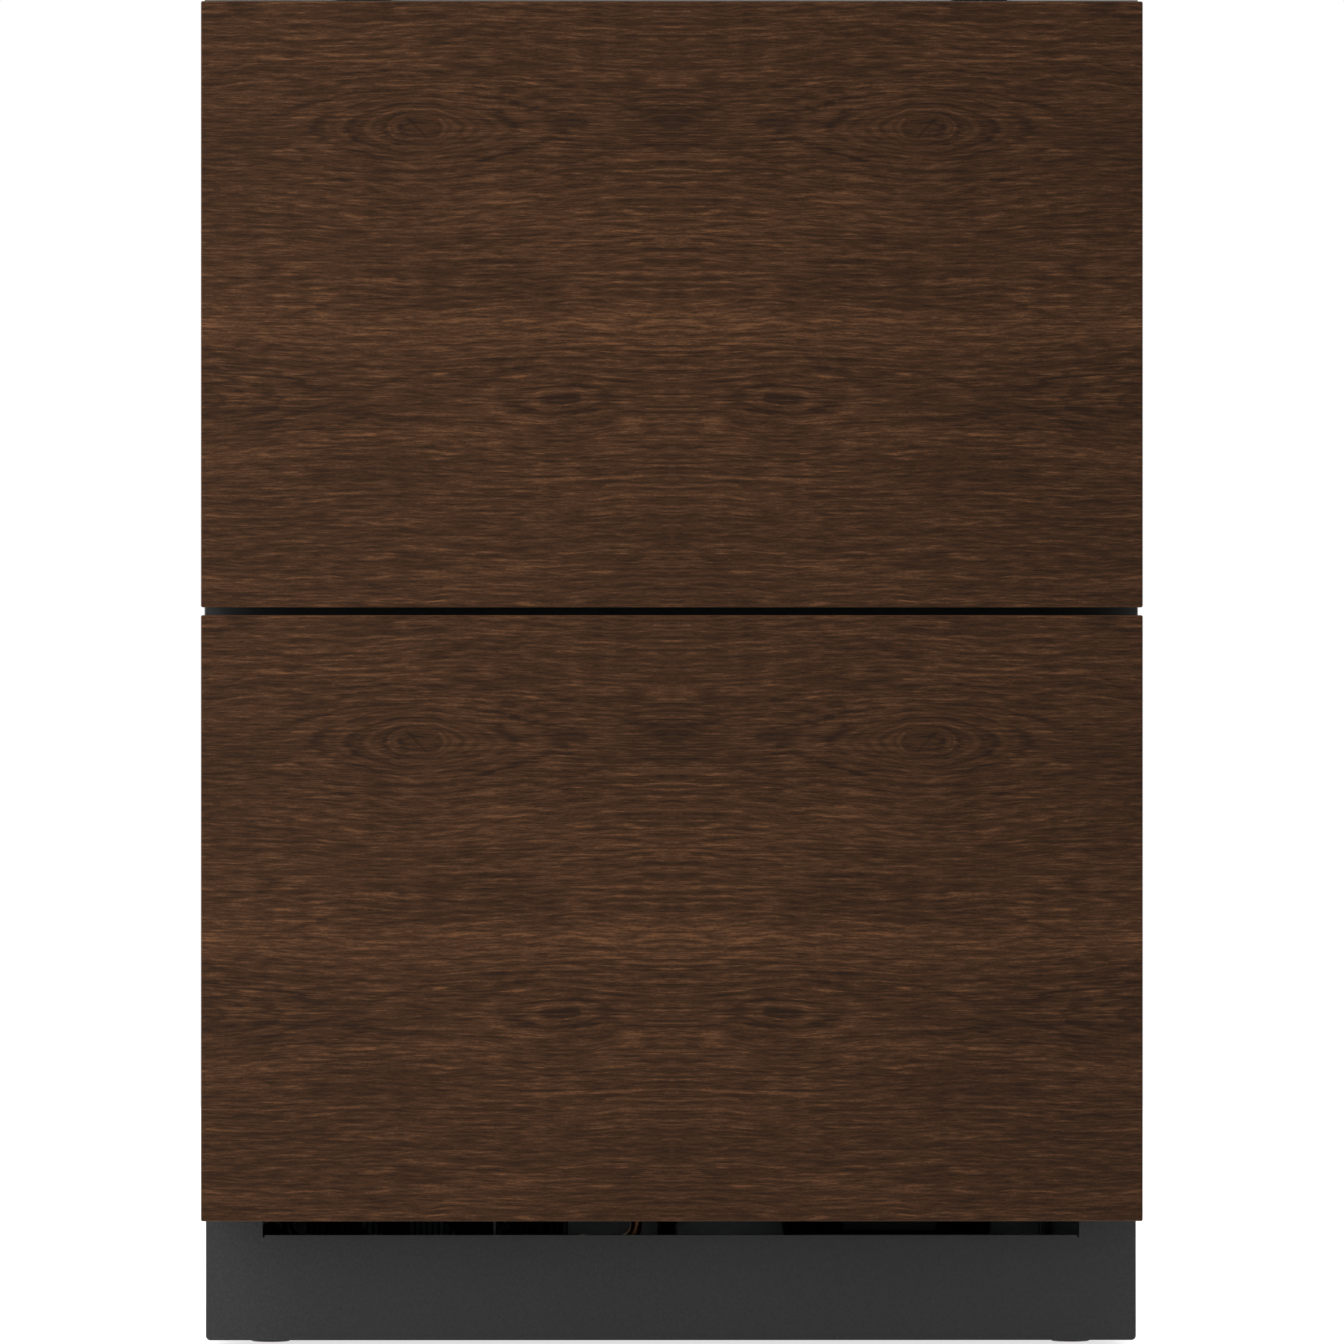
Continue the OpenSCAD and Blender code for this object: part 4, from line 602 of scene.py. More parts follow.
ALONG_X, ALONG_Y = (9, 2600, 2600), (2600, 9, 2600)
STAINLESS = coating("brushed_stainless", (160, 161, 162), 0.36, 1.0, ALONG_X, 0.07, 0.000008, 0.04, 0.18)
STAINLESS_SIDES = coating("brushed_stainless_sides", (158, 159, 160), 0.36, 1.0, ALONG_Y, 0.07, 0.000008,
                          0.04, 0.18)
KICK_PAINT = coating("charcoal_texture_paint", (50, 50, 50), 0.52, 0.0, 800, 0.15, 0.00008, 0.06, 0.10,
                     (84, 84, 83), Specular_IOR_Level=0.25)
# Dark paint for the face frame, mullion and base pan, which are seen only through the gap between the panels and
# the kick plate's slot: partly the frame's own dark paint, partly painted shade for the dark inside of those deep
# openings.
DARK_PAINT_AND_SHADE = coating("dark_frame_paint", (40, 40, 40), 0.55, 0.0, 1500, 0.08, 0.00004, 0.06, 0.08,
                      Specular_IOR_Level=0.25)
CASE_PAINT = coating("case_paint", (107, 105, 102), 0.46, 0.0, 420, 0.03, 0.00007, 0.04, 0.05,
                     (150, 148, 144))
ZINC = coating("zinc_plate", (178, 181, 183), 0.30, 1.0, 600, 0.07, 0.00001, 0.10, 0.18)
RAIL_ZINC = coating("rail_zinc", (184, 187, 190), 0.28, 1.0, (900, 24, 900), 0.08, 0.00001, 0.08, 0.16)
RUBBER = coating("soft_rubber", (34, 34, 35), 0.62, 0.0, 700, 0.10, 0.00002, 0.10, 0.08)
GLOSS_BLACK = coating("black_gloss_paint", (24, 24, 25), 0.24, 0.0, 260, 0.06, 0.00006, 0.10, 0.06,
                      (62, 60, 58))
BLACK_PLASTIC = coating("moulded_black", (32, 32, 33), 0.44, 0.0, 2200, 0.10, 0.00003, 0.06, 0.08)
LIGHT_PLASTIC = coating("moulded_white", (214, 216, 216), 0.40, 0.0, 2400, 0.02, 0.00003, 0.02, 0.06)
CLEAR_GREY = coating("clear_grey_sheet", (206, 211, 214), 0.22, 0.0, 2400, 0.02, 0.00001, 0.02, 0.05)
FIN = coating("fin_sheet", (196, 199, 201), 0.34, 1.0, (60, 60, 700), 0.08, 0.00001, 0.08, 0.10)
COPPER = coating("copper_tube", (190, 112, 80), 0.30, 1.0, 260, 0.12, 0.00001, 0.18, 0.18)
print("finishes", sorted(m.name for m in bpy.data.materials))

# %% [markdown]
# ## Galvanised sheet, foam, board and lens
# Hot-dip zinc grows in flat crystals, so galvanised sheet shows patches that each reflect a
# little differently. Voronoi cells give such patches at once. The same node makes the bubbles of
# poured foam. The circuit board's tracks are cell borders, this time with squared distances.

# %% Patterned finishes
def spangle(name, rgb):
    """Galvanised sheet: crystal patches of 6 to 12 mm with their own shade and gloss."""
    g = Finish(name, 0.36, 1.0)
    at = g.node("ShaderNodeTexCoord").outputs["Object"]
    cells = g.node("ShaderNodeTexVoronoi")
    g.feed(cells.inputs["Vector"], at)
    cells.inputs["Scale"].default_value = 120
    patch = g.node("ShaderNodeSeparateColor", cells.outputs["Color"]).outputs[0]
    fine = g.grain(900, 900, 900)
    value = g.sum(g.times(patch, 0.5), g.times(fine, 0.25), g.times(g.grain(9, 9, 9), 0.3))
    return g.wear(g.shade(value, rgb, 0.09), g.sum(0.34, g.times(patch, 0.08), g.around(fine, 0.1)),
                  [(fine, 0.00001)])


def foamed(name, rgb):
    """Poured foam: a skin of bubbles with painted shade in each bubble's hollow middle, and slow patches of tone.
    """
    f = Finish(name, 0.85)
    at = f.node("ShaderNodeTexCoord").outputs["Object"]
    cells = f.node("ShaderNodeTexVoronoi")
    f.feed(cells.inputs["Vector"], at)
    cells.inputs["Scale"].default_value = 380
    bubble = cells.outputs["Distance"]
    # bubble is small in the hollow middle of each bubble, so it darkens the hollows: painted shade.
    return f.wear(f.shade(f.sum(f.times(bubble, 0.8), f.times(f.grain(14, 14, 14), 0.5)), rgb, 0.2), 0.85,
                  [(bubble, 0.0006)])


def circuit(name):
    """Solder mask over copper tracks: tracks are thin borders between square cells."""
    b = Finish(name, 0.32)
    at = b.node("ShaderNodeTexCoord").outputs["Object"]
    cells = b.node("ShaderNodeTexVoronoi", distance="CHEBYCHEV", feature="F1")
    near = b.node("ShaderNodeTexVoronoi", distance="CHEBYCHEV", feature="F2")
    for n in (cells, near):
        b.feed(n.inputs["Vector"], at)
        n.inputs["Scale"].default_value = 220
    gap = b.math("SUBTRACT", near.outputs["Distance"], cells.outputs["Distance"])
    track = b.between(gap, 0.06, 0.12, 1.0, 0.0)
    pad = b.between(cells.outputs["Distance"], 0.10, 0.14, 1.0, 0.0)
    over_track, tin = ((*map(linear, rgb), 1) for rgb in ((34, 112, 66), (196, 190, 170)))
    mask = b.blend(track, b.shade(b.grain(60, 60, 60), (18, 74, 44), 0.2), over_track)
    return b.wear(b.blend(pad, mask, tin), b.sum(0.34, b.times(track, -0.1)), [(track, 0.00004)])


def milky(name):
    """A frosted light lens: fine ribs across, lit faintly from behind."""
    m = Finish(name, 0.35, 0.0, Transmission_Weight=0.35, IOR=1.49, Emission_Strength=0.55,
               Emission_Color=(0.93, 0.97, 1.0, 1))
    ribs = m.math("SINE", m.times(m.place()[0], 2 * math.pi / 0.002))
    return m.wear(m.shade(m.grain(600, 600, 600), (238, 240, 240), 0.03), 0.35, [(ribs, 0.0001)])


GALVANISED = spangle("galvanised_sheet", (150, 154, 156))
FOAM = foamed("insulating_foam", (214, 196, 140))
BOARD = circuit("circuit_board")
LENS = milky("frosted_lens")
print(len(bpy.data.materials), "finishes in all")

# %% [markdown]
# ## Wood panels
# Each drawer front carries one overlay panel: a board with veneer on its face and banding
# round its edges, all edges just eased with sandpaper. A cube with a bevel would do for its
# shape. The grid version gives the same eased edges and lets the veneer be laid on point by
# point: its map is the distance across and the distance below the board's top, so both boards
# get the same cut of the log.

# %% Wood panels
EASED, EASED_STEPS = 0.0012, 4


def span(node):
    """A node's box as x, y and z spans."""
    low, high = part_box(node)
    return [(low[k], high[k]) for k in range(3)]


def lay_veneer(panel, top):
    """Maps veneer on a panel: u = x and v = top - z for every corner of every face."""
    mesh = panel.data
    at = np.empty(len(mesh.vertices) * 3)
    mesh.vertices.foreach_get("co", at)
    corner = np.empty(len(mesh.loops), int)
    mesh.loops.foreach_get("vertex_index", corner)
    at = at.reshape(-1, 3)[corner]
    layer = mesh.uv_layers.new(name="veneer")
    layer.uv.foreach_set("vector", np.stack([at[:, 0], top - at[:, 2]], -1).ravel())


for side in ("upper", "lower"):
    x, y, z = span(side + "_panel")
    board = piece(side + "_wood_panel", [slab(x, y, z, EASED, EASED, EASED_STEPS)], WOOD,
                  [side + "_panel"])
    lay_veneer(board, z[1])
    print(side, "panel is", round((x[1] - x[0]) * 1000), "by", round((z[1] - z[0]) * 1000), "mm")

# %% [markdown]
# ## Kick plate
# The kick plate is one blank of steel: its outline has an open slot at the top, with small
# reliefs beside the slot's lip so that the fold doesn't tear. The lip, the side folds and the
# bottom fold stiffen it. The drawn part already has this outline, so its faces are joined and
# its edges get the soft line that a bent and painted edge shows.

# %% Kick plate
dressed("kick_plate", KICK_PAINT)

# %% [markdown]
# ## Levelling legs
# A levelling leg is a threaded stem with a hexagon for the spanner, on a moulded pad. The
# thread is a real helix: the radius depends on the angle and the height together, as
# r = R - depth * tri(h / pitch - angle / 2 pi). A bump texture couldn't show at the stem's
# silhouette.

# %% Levelling legs
def thread(centre, radius, pitch, depth, low, high, sides=24):
    """A threaded rod: r(t, h) = radius - depth |2 frac(h / pitch - t / 2 pi) - 1|, with a
    chamfer at both ends, as rings from low to high."""
    h = np.arange(low, high, pitch / 4)
    t = np.linspace(0, 2 * math.pi, sides, endpoint=False)
    wave = np.abs(2 * np.mod(h[:, None] / pitch - t[None] / (2 * math.pi), 1) - 1)
    fade = np.clip(np.minimum(h - low, high - h) / pitch, 0, 1)[:, None]
    r = radius - depth * (1 - fade * (1 - wave))
    rings = np.stack([r * np.cos(t), r * np.sin(t), np.broadcast_to(h[:, None], r.shape)], -1)
    return skin(rings + np.array(centre))


def hexagon(t):
    """Distance from the middle to a hexagon's side at angle t, for a corner radius of 1."""
    return math.cos(math.pi / 6) / np.cos(np.mod(t, math.pi / 3) - math.pi / 6)


PAD_HIGH, NUT_FLAT, NUT_CORNER = 0.007, 0.0068, 0.0079
THREAD = dict(radius=0.00492, pitch=0.0015, depth=0.0007, low=0.0142)
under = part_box("base_pan")[0].z
for leg in ("leg_front_left", "leg_front_right", "leg_rear_left", "leg_rear_right"):
    x, y, z = span(leg)
    centre, pad = ((x[0] + x[1]) / 2, (y[0] + y[1]) / 2, 0), (x[1] - x[0]) / 2
    foot = turned([(HAIR, 0), (pad - 0.0016, 0), (pad - 0.0004, 0.0006), (pad, 0.0018),
                   (pad - 0.0002, 0.0042), (pad - 0.0012, 0.0056), (pad - 0.0036, 0.0064),
                   (0.0075, PAD_HIGH), (HAIR, PAD_HIGH)], centre)
    nut = turned([(HAIR, PAD_HIGH + HAIR), (NUT_FLAT, PAD_HIGH + HAIR),
                  (NUT_CORNER, PAD_HIGH + 0.0007, 1), (NUT_CORNER, under - 0.0012, 1),
                  (NUT_FLAT, under - 0.0005), (HAIR, under - 0.0005)], centre, sides=48, shape=hexagon)
    piece(leg + "_pad", [foot], BLACK_PLASTIC, [leg])
    piece(leg + "_stem", [nut, thread(centre, high=z[1], **THREAD)], ZINC, [leg])

# %% [markdown]
# ## Gaskets
# A door gasket is one extruded rubber profile, mitred at the corners: a foot, a soft bellows and
# a hollow nose that holds the magnet. The profile is carried round the opening, and at each
# corner the offset goes sideways and up alike, which is the mitre.

# %% Gaskets
def round_opening(profile, x, z, front):
    """Carries a closed (inwards, depth) profile round a rectangle. The ring at a corner lies at
    corner + inwards * (towards the middle in x and in z), so the joints are mitres."""
    inwards, deep = np.array(profile, float).T
    corners = [(x[0], z[0], 1, 1), (x[1], z[0], -1, 1), (x[1], z[1], -1, -1), (x[0], z[1], 1, -1)]
    return skin(np.stack([np.stack([cx + sx * inwards, front + deep, cz + sz * inwards], -1)
                          for cx, cz, sx, sz in corners]), closed=True)


def bellows(width, deep):
    """A gasket's section as (inwards, depth): foot, two folds of the bellows, nose, and back again."""
    foot = 0.0022
    left = [(0.0, 0.0), (0.0, foot * 0.7), (0.0006, foot), (0.0024, foot + 0.0003),
            (0.0012, foot + 0.0012), (0.0004, foot + 0.0021), (0.0012, foot + 0.0030),
            (0.0008, deep - 0.0022), (0.0006, deep - 0.0009), (0.0014, deep)]
    return left + [(width - u, v) for u, v in left[::-1]]


GASKET_WIDE = 0.012
for side in ("upper", "lower"):
    x, y, z = span(side + "_gasket")
    ring = round_opening(bellows(GASKET_WIDE, y[1] - y[0]), x, z, y[0])
    piece(side + "_gasket_ring", [ring], RUBBER, [side + "_gasket"], sharp=50)

# %% [markdown]
# ## Screws
# The rear cover and the drawer boxes are held by pan-head screws, the rails by countersunk ones.
# All have a six-lobe recess. A screw is one profile turned about its axis. In the recess the
# circle becomes a six-lobed line, r(t) = r (1 + 0.2 cos 6t), so head and recess are one closed
# skin. The drawn part says where each screw sits: every separate solid of it is measured.

# %% Screws
PAN_RISE, SHANK_SHARE, LONG_SCREW = 0.002, 0.45, 0.03


def six_lobes(t):
    """Outline of a six-lobe recess about a mean radius of 1."""
    return 1 + 0.2 * np.cos(6 * t)


def pan_screw(place, axis, length, head, rise=PAN_RISE):
    """Pan-head screw whose head rests at the place and stands out along the axis."""
    shank = head * SHANK_SHARE
    return turned([(HAIR, -length), (shank * 0.6, -length), (shank, -length + 0.001), (shank, -0.0001),
                   (head - 0.0004, 0), (head, 0.0004), (head * 0.97, rise * 0.55),
                   (head * 0.80, rise * 0.88), (head * 0.60, rise), (head * 0.46, rise, 0.6),
                   (head * 0.42, rise * 0.93, 1), (head * 0.38, rise * 0.30, 1), (HAIR, rise * 0.22)],
                  place, axis, 36, six_lobes)


def sunk_screw(place, axis, length, shank=0.002, head=0.0038, sink=0.0018):
    """Countersunk screw with its flat face at the place, pointing along the axis."""
    return turned([(HAIR, length), (shank * 0.5, length), (shank, length - 0.0015), (shank, sink),
                   (head, 0.0002), (head * 0.97, 0), (head * 0.52, 0, 0.6), (head * 0.46, 0.0002, 1),
                   (head * 0.40, 0.0013, 1), (HAIR, 0.0015)], place, axis, 36, six_lobes)


def screws_of(node):
    """One skin per separate solid of a screw node, by its size and by the way it points."""
    out = []
    for low, high in solids_of(node):
        (x, y, z), size = (low + high) / 2, high - low
        if size[0] > size[1]:
            place, axis = ((low[0], y, z), "x") if x > 0 else ((high[0], y, z), "-x")
            out.append(sunk_screw(place, axis, size[0]))
        elif size[1] > LONG_SCREW:
            out.append(sunk_screw((x, high[1], z), "-y", size[1]))
        else:
            out.append(pan_screw((x, high[1] - PAN_RISE, z), "y", size[1] - PAN_RISE, size[0] / 2))
    return out


for node in ("cabinet_screws", "upper_front_screws", "lower_front_screws"):
    piece(node[:-1] + "_set", screws_of(node), ZINC, [node])

# %% [markdown]
# ## Louvre hoods
# The rear cover's slots are lanced: the sheet is cut on one side and pushed out, so a low hood
# stands over each slot and sheds dust. The hood's surface is out(u, v) = rise * sin(pi v / 2) *
# e(u), where v runs from the hood's root down to its lip and e(u) rounds off both ends.

# %% Louvre hoods
HOOD_SHEET, HOOD_ROOT = 0.0007, 0.0004


def hood(x, z, y, rise, tall):
    """One hood over the x span, its lip at the height z, standing out from the sheet at y."""
    u = np.linspace(-1, 1, 19)[None]
    v = np.linspace(0, 1, 6)[:, None]
    ends = np.sqrt(np.clip(1 - np.abs(u) ** 10, 0, 1))
    out = rise * np.sin(v * math.pi / 2) * ends
    across = (x[0] + x[1]) / 2 + (x[1] - x[0]) / 2 * u + 0 * v
    up = z + tall * (1 - v) + 0 * u
    outer = np.stack([across, y + out, up], -1)
    inner = np.stack([across, y + np.maximum(out - HOOD_SHEET, -HOOD_ROOT), up + 0.0006 * v], -1)
    return skin(np.concatenate([outer, inner[:, ::-1]], 1))


SHEET_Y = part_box("rear_grille")[1].y
HOOD_RISE, HOOD_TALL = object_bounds()[1].y - SHEET_Y - 0.0001, 0.0085
SLOT_LOW, SLOT_PITCH, SLOT_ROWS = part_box("base_pan")[0].z + 0.0935, 0.015, 9
SLOT_SPANS = (-0.239, -0.031), (0.031, 0.239)
hoods = [hood(x, SLOT_LOW + row * SLOT_PITCH, SHEET_Y, HOOD_RISE, HOOD_TALL)
         for row in range(SLOT_ROWS) for x in SLOT_SPANS]
piece("rear_grille_hoods", hoods, GALVANISED, body="cabinet", sharp=30)

# %% [markdown]
# ## Beads in the back sheet
# A large thin sheet drums and buckles, so its maker presses beads into it. A bead is a low
# half-round ridge with rounded ends. Its ring at share s along the ridge is half an ellipse
# whose size falls to nothing at both ends as sqrt(1 - s^8).

# %% Back sheet beads
BEAD_REACH, BEAD_HALF, BEAD_RISE, BEAD_ROOT = 0.235, 0.006, 0.0014, 0.0003
BEAD_LOW, BEAD_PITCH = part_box("rear_grille")[1].z + 0.09, 0.1


def bead(z):
    """A pressed ridge across the back sheet's outer face at the height z."""
    s = np.linspace(-1, 1, 25)[:, None]
    a = np.linspace(0, math.pi, 9)[None]
    size = np.sqrt(np.clip(1 - s ** 8, 0, 1)) + 0.004
    up = z + BEAD_HALF * np.cos(a) * size
    out = SHEET_Y - BEAD_ROOT + (BEAD_RISE + BEAD_ROOT) * np.sin(a) * size
    return skin(np.stack([BEAD_REACH * s + 0 * a, out, up], -1))


piece("back_panel_beads", [bead(BEAD_LOW + k * BEAD_PITCH) for k in range(5)], CASE_PAINT, body="cabinet",
      sharp=30)

# %% [markdown]
# ## Cord gland
# The gland is a ribbed rubber bush: a flange outside, a groove that snaps into the sheet and a
# tapered tail inside. One closed section is turned about the bore. A thin membrane closes the
# bore until a cord is pushed through it, and keeps dust and light out.

# %% Cord gland
x, (tail, out), z = span("cord_gland")
centre, flange, bore = ((x[0] + x[1]) / 2, 0, (z[0] + z[1]) / 2), (x[1] - x[0]) / 2, 0.004
bush = [(bore, tail), (bore + 0.0018, tail), (bore + 0.0026, tail + 0.003),
        (bore + 0.0022, tail + 0.0035), (bore + 0.0028, tail + 0.0065), (bore + 0.0024, tail + 0.007),
        (bore + 0.003, tail + 0.0098), (bore + 0.003, out - 0.002), (flange - 0.0005, out - 0.0019),
        (flange, out - 0.0014), (flange - 0.0006, out - 0.0004), (flange - 0.0016, out),
        (bore + 0.0010, out), (bore + 0.0003, out - 0.0006), (bore, out - 0.0015)]
membrane = [(HAIR, tail + 0.0040), (bore + 0.0004, tail + 0.0040), (bore + 0.0004, tail + 0.0048),
            (0.0012, tail + 0.0048), (HAIR, tail + 0.0056)]
solids = [turned(bush, centre, "y", 48, closed=True), turned(membrane, centre, "y", 32)]
piece("cord_gland_bush", solids, RUBBER, ["cord_gland"])

# %% [markdown]
# ## Steel drawer fronts
# Behind each wood panel is a steel pan, filled with foam. Its edges are bent, not cut, so they
# are round. The pan is one closed skin: rings go from the inner floor up to the rim and back
# down the outside, where they shrink round the bend as inset = b (1 - cos a).

# %% Steel drawer fronts
def open_pan(x, y, z, thickness, bend, corner):
    """A pan in the xz plane that opens towards +y, with its flat face at y[0]."""
    rings = [(thickness + bend, y[0] + thickness), (thickness, y[0] + thickness + bend),
             (thickness, y[1]), (0, y[1])]
    for a in np.linspace(0, math.pi / 2, 5):
        rings.append((bend * (1 - math.cos(a)), y[0] + bend * (1 - math.sin(a))))
    return nested(x, z, rings, corner, 0.0003, 1)


FRONT_SHEET = dict(thickness=0.001, bend=0.0015, corner=0.002)
for side in ("upper", "lower"):
    pan = open_pan(*span(side + "_front_skin"), **FRONT_SHEET)
    piece(side + "_steel_front", [pan], STAINLESS, [side + "_front_skin"])

# %% [markdown]
# ## Telescopic rails
# The rails are folded channels that run inside one another on steel balls. Each section is a
# line with rounded corners, moved half the sheet's thickness to both sides. The drawn part gives
# where each channel begins and ends.

# %% Telescopic rails
RAIL_SHEET, RAIL_BEND, LARGEST_BALL = 0.0012, 0.0016, 0.01


def channel(flange_x, web_x, half, z, y):
    """A channel on the right side: the web stands at web_x, both flanges reach to flange_x."""
    t = RAIL_SHEET / 2
    web = web_x - t if web_x > flange_x else web_x + t
    line = [(flange_x, z + half - t), (web, z + half - t), (web, z - half + t), (flange_x, z - half + t)]
    return carried(folded(line, RAIL_SHEET, RAIL_BEND), "y", y)


def ball(place, radius):
    """A bearing ball from a half circle turned about z."""
    a = np.linspace(-math.pi / 2 + 0.02, math.pi / 2 - 0.02, 9)
    return turned(np.stack([radius * np.cos(a), radius * np.sin(a)], -1), place, sides=16)


def rails_of(node):
    """Channels for the long solids on the right side of a rail node, balls for the small ones. The
    rails on a drawer box have their webs inside, all others have them outside."""
    out = []
    for low, high in solids_of(node):
        mid, size = (low + high) / 2, high - low
        web, flange = (low[0], high[0]) if node.endswith("_drawer_rails") else (high[0], low[0])
        if low[0] >= 0 and size[1] < LARGEST_BALL:
            out.append(ball(mid, size[1] / 2))
        elif low[0] >= 0:
            out.append(channel(flange, web, size[2] / 2, mid[2], (low[1], high[1])))
    return mirrored(out)


for node in ("cabinet_rails", "upper_middle_rails", "lower_middle_rails", "upper_drawer_rails",
             "lower_drawer_rails"):
    piece(node[:-1] + "_pair", rails_of(node), RAIL_ZINC, [node])

# %% [markdown]
# ## Controls
# The housing under the ceiling holds a small display, three buttons and a light. The display is
# a dark window with two seven-segment digits. Each digit is a set of bars, and a table says
# which of them are lit. The figures are only a temperature.

# %% Display and board
WINDOW = coating("dark_window", (10, 11, 12), 0.08, 0.0, 900, 0.05, 0.000002, 0.05, 0.02)
LIT = coating("lit_digit", (190, 228, 255), 0.4, 0.0, 2400, 0.02, 0.00001, 0.02, 0.05,
              Emission_Color=(0.45, 0.75, 1.0, 1), Emission_Strength=2.2)
SEGMENTS = {"top": (0, 2, 1, 2), "upper_left": (0, 1, 0, 2), "upper_right": (1, 1, 1, 2),
            "middle": (0, 1, 1, 1), "lower_left": (0, 0, 0, 1), "lower_right": (1, 0, 1, 1),
            "bottom": (0, 0, 1, 0)}
LIT_BARS = {3: ("top", "upper_right", "middle", "lower_right", "bottom"), 8: tuple(SEGMENTS)}
WINDOW_X, WINDOW_HALF = (-0.034, 0.010), 0.008
DIGITS_AT, DIGIT_WIDE, DIGIT_BAR = ((3, -0.0225), (8, -0.0125)), 0.005, 0.0009
SWITCHES_AT, SWITCH_HALF, SWITCH_HIGH = (0.03, 0.05, 0.07), 0.003, 0.004


def digit(number, x, z, y, wide, bar):
    """Lit bars of one digit, its lower left corner at (x, z), a bar's width left between them."""
    lows, highs = [], []
    for name in LIT_BARS[number]:
        x0, z0, x1, z1 = np.array(SEGMENTS[name]) * wide
        dx, dz = (bar / 2, -0.7 * bar) if x0 == x1 else (-0.7 * bar, bar / 2)
        lows.append((x + x0 - dx, y, z + z0 - dz))
        highs.append((x + x1 + dx, y + 0.0004, z + z1 + dz))
    return blocks(lows, highs)


low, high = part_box("button_power")
BUTTON_Z = (low.z + high.z) / 2
board_x, board_y, board_z = span("control_board")
board_back = board_y[1] - 0.0016
window = slab(WINDOW_X, (board_y[0] + 0.0001, board_back),
              (BUTTON_Z - WINDOW_HALF, BUTTON_Z + WINDOW_HALF), 0.0012, 0.0004)
digits = [digit(number, x, BUTTON_Z - DIGIT_WIDE, board_y[0] - 0.0002, DIGIT_WIDE, DIGIT_BAR)
          for number, x in DIGITS_AT]
switches = [slab((x - SWITCH_HALF, x + SWITCH_HALF), (board_back - SWITCH_HIGH, board_back),
                 (BUTTON_Z - SWITCH_HALF, BUTTON_Z + SWITCH_HALF), 0.0004, 0.0003) for x in SWITCHES_AT]
sheet = slab(board_x, (board_back, board_y[1]), board_z, 0.002, 0.0002)
piece("display_window", [window], WINDOW, ["control_board"])
piece("display_digits", digits, LIT, body="cabinet")
piece("switches", switches, BLACK_PLASTIC, ["control_board"])
piece("control_board_sheet", [sheet], BOARD, ["control_board"])

# %% [markdown]
# ## Buttons
# A button is a turned cap on a flange that keeps it behind the housing. Its mark stands a hair
# out of the cap: a ring with a stroke for power, one stroke for colder and a cross for warmer.

# %% Buttons
CAP_IN, MARK_ARM, MARK_HALF, MARK_SUNK = 0.0015, 0.0016, 0.0002, 0.0004


def stroke(centre, face, x, z, proud=0.0001):
    """One stroke of a mark: spans x and z about the centre, standing proud of the face."""
    return blocks((centre[0] + x[0], face - proud, centre[2] + z[0]),
                  (centre[0] + x[1], face + MARK_SUNK, centre[2] + z[1]))


for name in ("power", "colder", "warmer"):
    button = "button_" + name
    x, y, z = span(button)
    centre, flange = ((x[0] + x[1]) / 2, 0, BUTTON_Z), (x[1] - x[0]) / 2
    cap, face = flange - CAP_IN, y[0] + 0.0003
    profile = [(HAIR, y[1]), (flange, y[1]), (flange, y[1] - 0.0013), (cap, y[1] - 0.0013),
               (cap, y[0] + 0.0007), (cap - 0.0002, y[0] + 0.0002), (cap - 0.0007, y[0]),
               (cap - 0.0016, y[0] + 0.0002), (HAIR, y[0] + 0.0005)]
    piece("button_cap_" + name, [turned(profile, centre, "y", 48)], LIGHT_PLASTIC, [button])
    thin, arms = (-MARK_HALF, MARK_HALF), (-MARK_ARM, MARK_ARM)
    if name == "power":
        outer = MARK_ARM + 2 * MARK_HALF
        ring = [(MARK_ARM, face - 0.0001), (outer, face - 0.0001), (outer, face + MARK_SUNK),
                (MARK_ARM, face + MARK_SUNK)]
        marks = [turned(ring, centre, "y", 32, closed=True),
                 stroke(centre, face, thin, (0, 0.0026), 0.0002)]
    else:
        marks = [stroke(centre, face, arms, thin)]
    if name == "warmer":
        marks.append(stroke(centre, face, thin, arms))
    piece("button_mark_" + name, marks, BLACK_PLASTIC, body=button)

# %% [markdown]
# ## Temperature sensor
# The sensor is a moulded bulb in a clip. A capsule turned about its long axis and an eased block
# make it.

# %% Temperature sensor
BULB_R, CLIP_HALF_X, CLIP_HALF_Z, CLIP_DEEP = 0.0036, 0.009, 0.006, 0.004
x, y, z = span("temperature_sensor")
middle, half_bulb = ((x[0] + x[1]) / 2, y[0] + BULB_R, (z[0] + z[1]) / 2), (x[1] - x[0]) / 2
nose = [(BULB_R * math.sin(a) * 0.97, -half_bulb + BULB_R * (1 - math.cos(a)))
        for a in np.linspace(0, math.pi / 2, 6)[1:]]
capsule = [(HAIR, -half_bulb)] + nose + [(r, -h) for r, h in nose[::-1]] + [(HAIR, half_bulb)]
clip = slab((middle[0] - CLIP_HALF_X, middle[0] + CLIP_HALF_X), (y[1] - CLIP_DEEP, y[1]),
            (middle[2] - CLIP_HALF_Z, middle[2] + CLIP_HALF_Z), 0.0015, 0.0006)
piece("sensor_bulb", [turned(capsule, middle, "x", 28), clip], LIGHT_PLASTIC, ["temperature_sensor"])

# %% [markdown]
# ## Fans
# A fan blade is thin, twisted and swept. Its sections are aerofoils: at share s from hub to tip
# the chord grows from the hub's to the tip's, the pitch falls so that all parts push the air
# alike, and the section moves forward by sweep * s^2. Each section is laid on its own cylinder,
# so x = r cos(angle) and z = r sin(angle) with angle = offset / r. A flat tilted plate would be
# quicker, but it is what makes a fan look like a toy.

# %% Fans
ROOT_PITCH, TIP_PITCH, SWEEP, BLADE_SUNK = 54, 24, 0.5, 0.0015


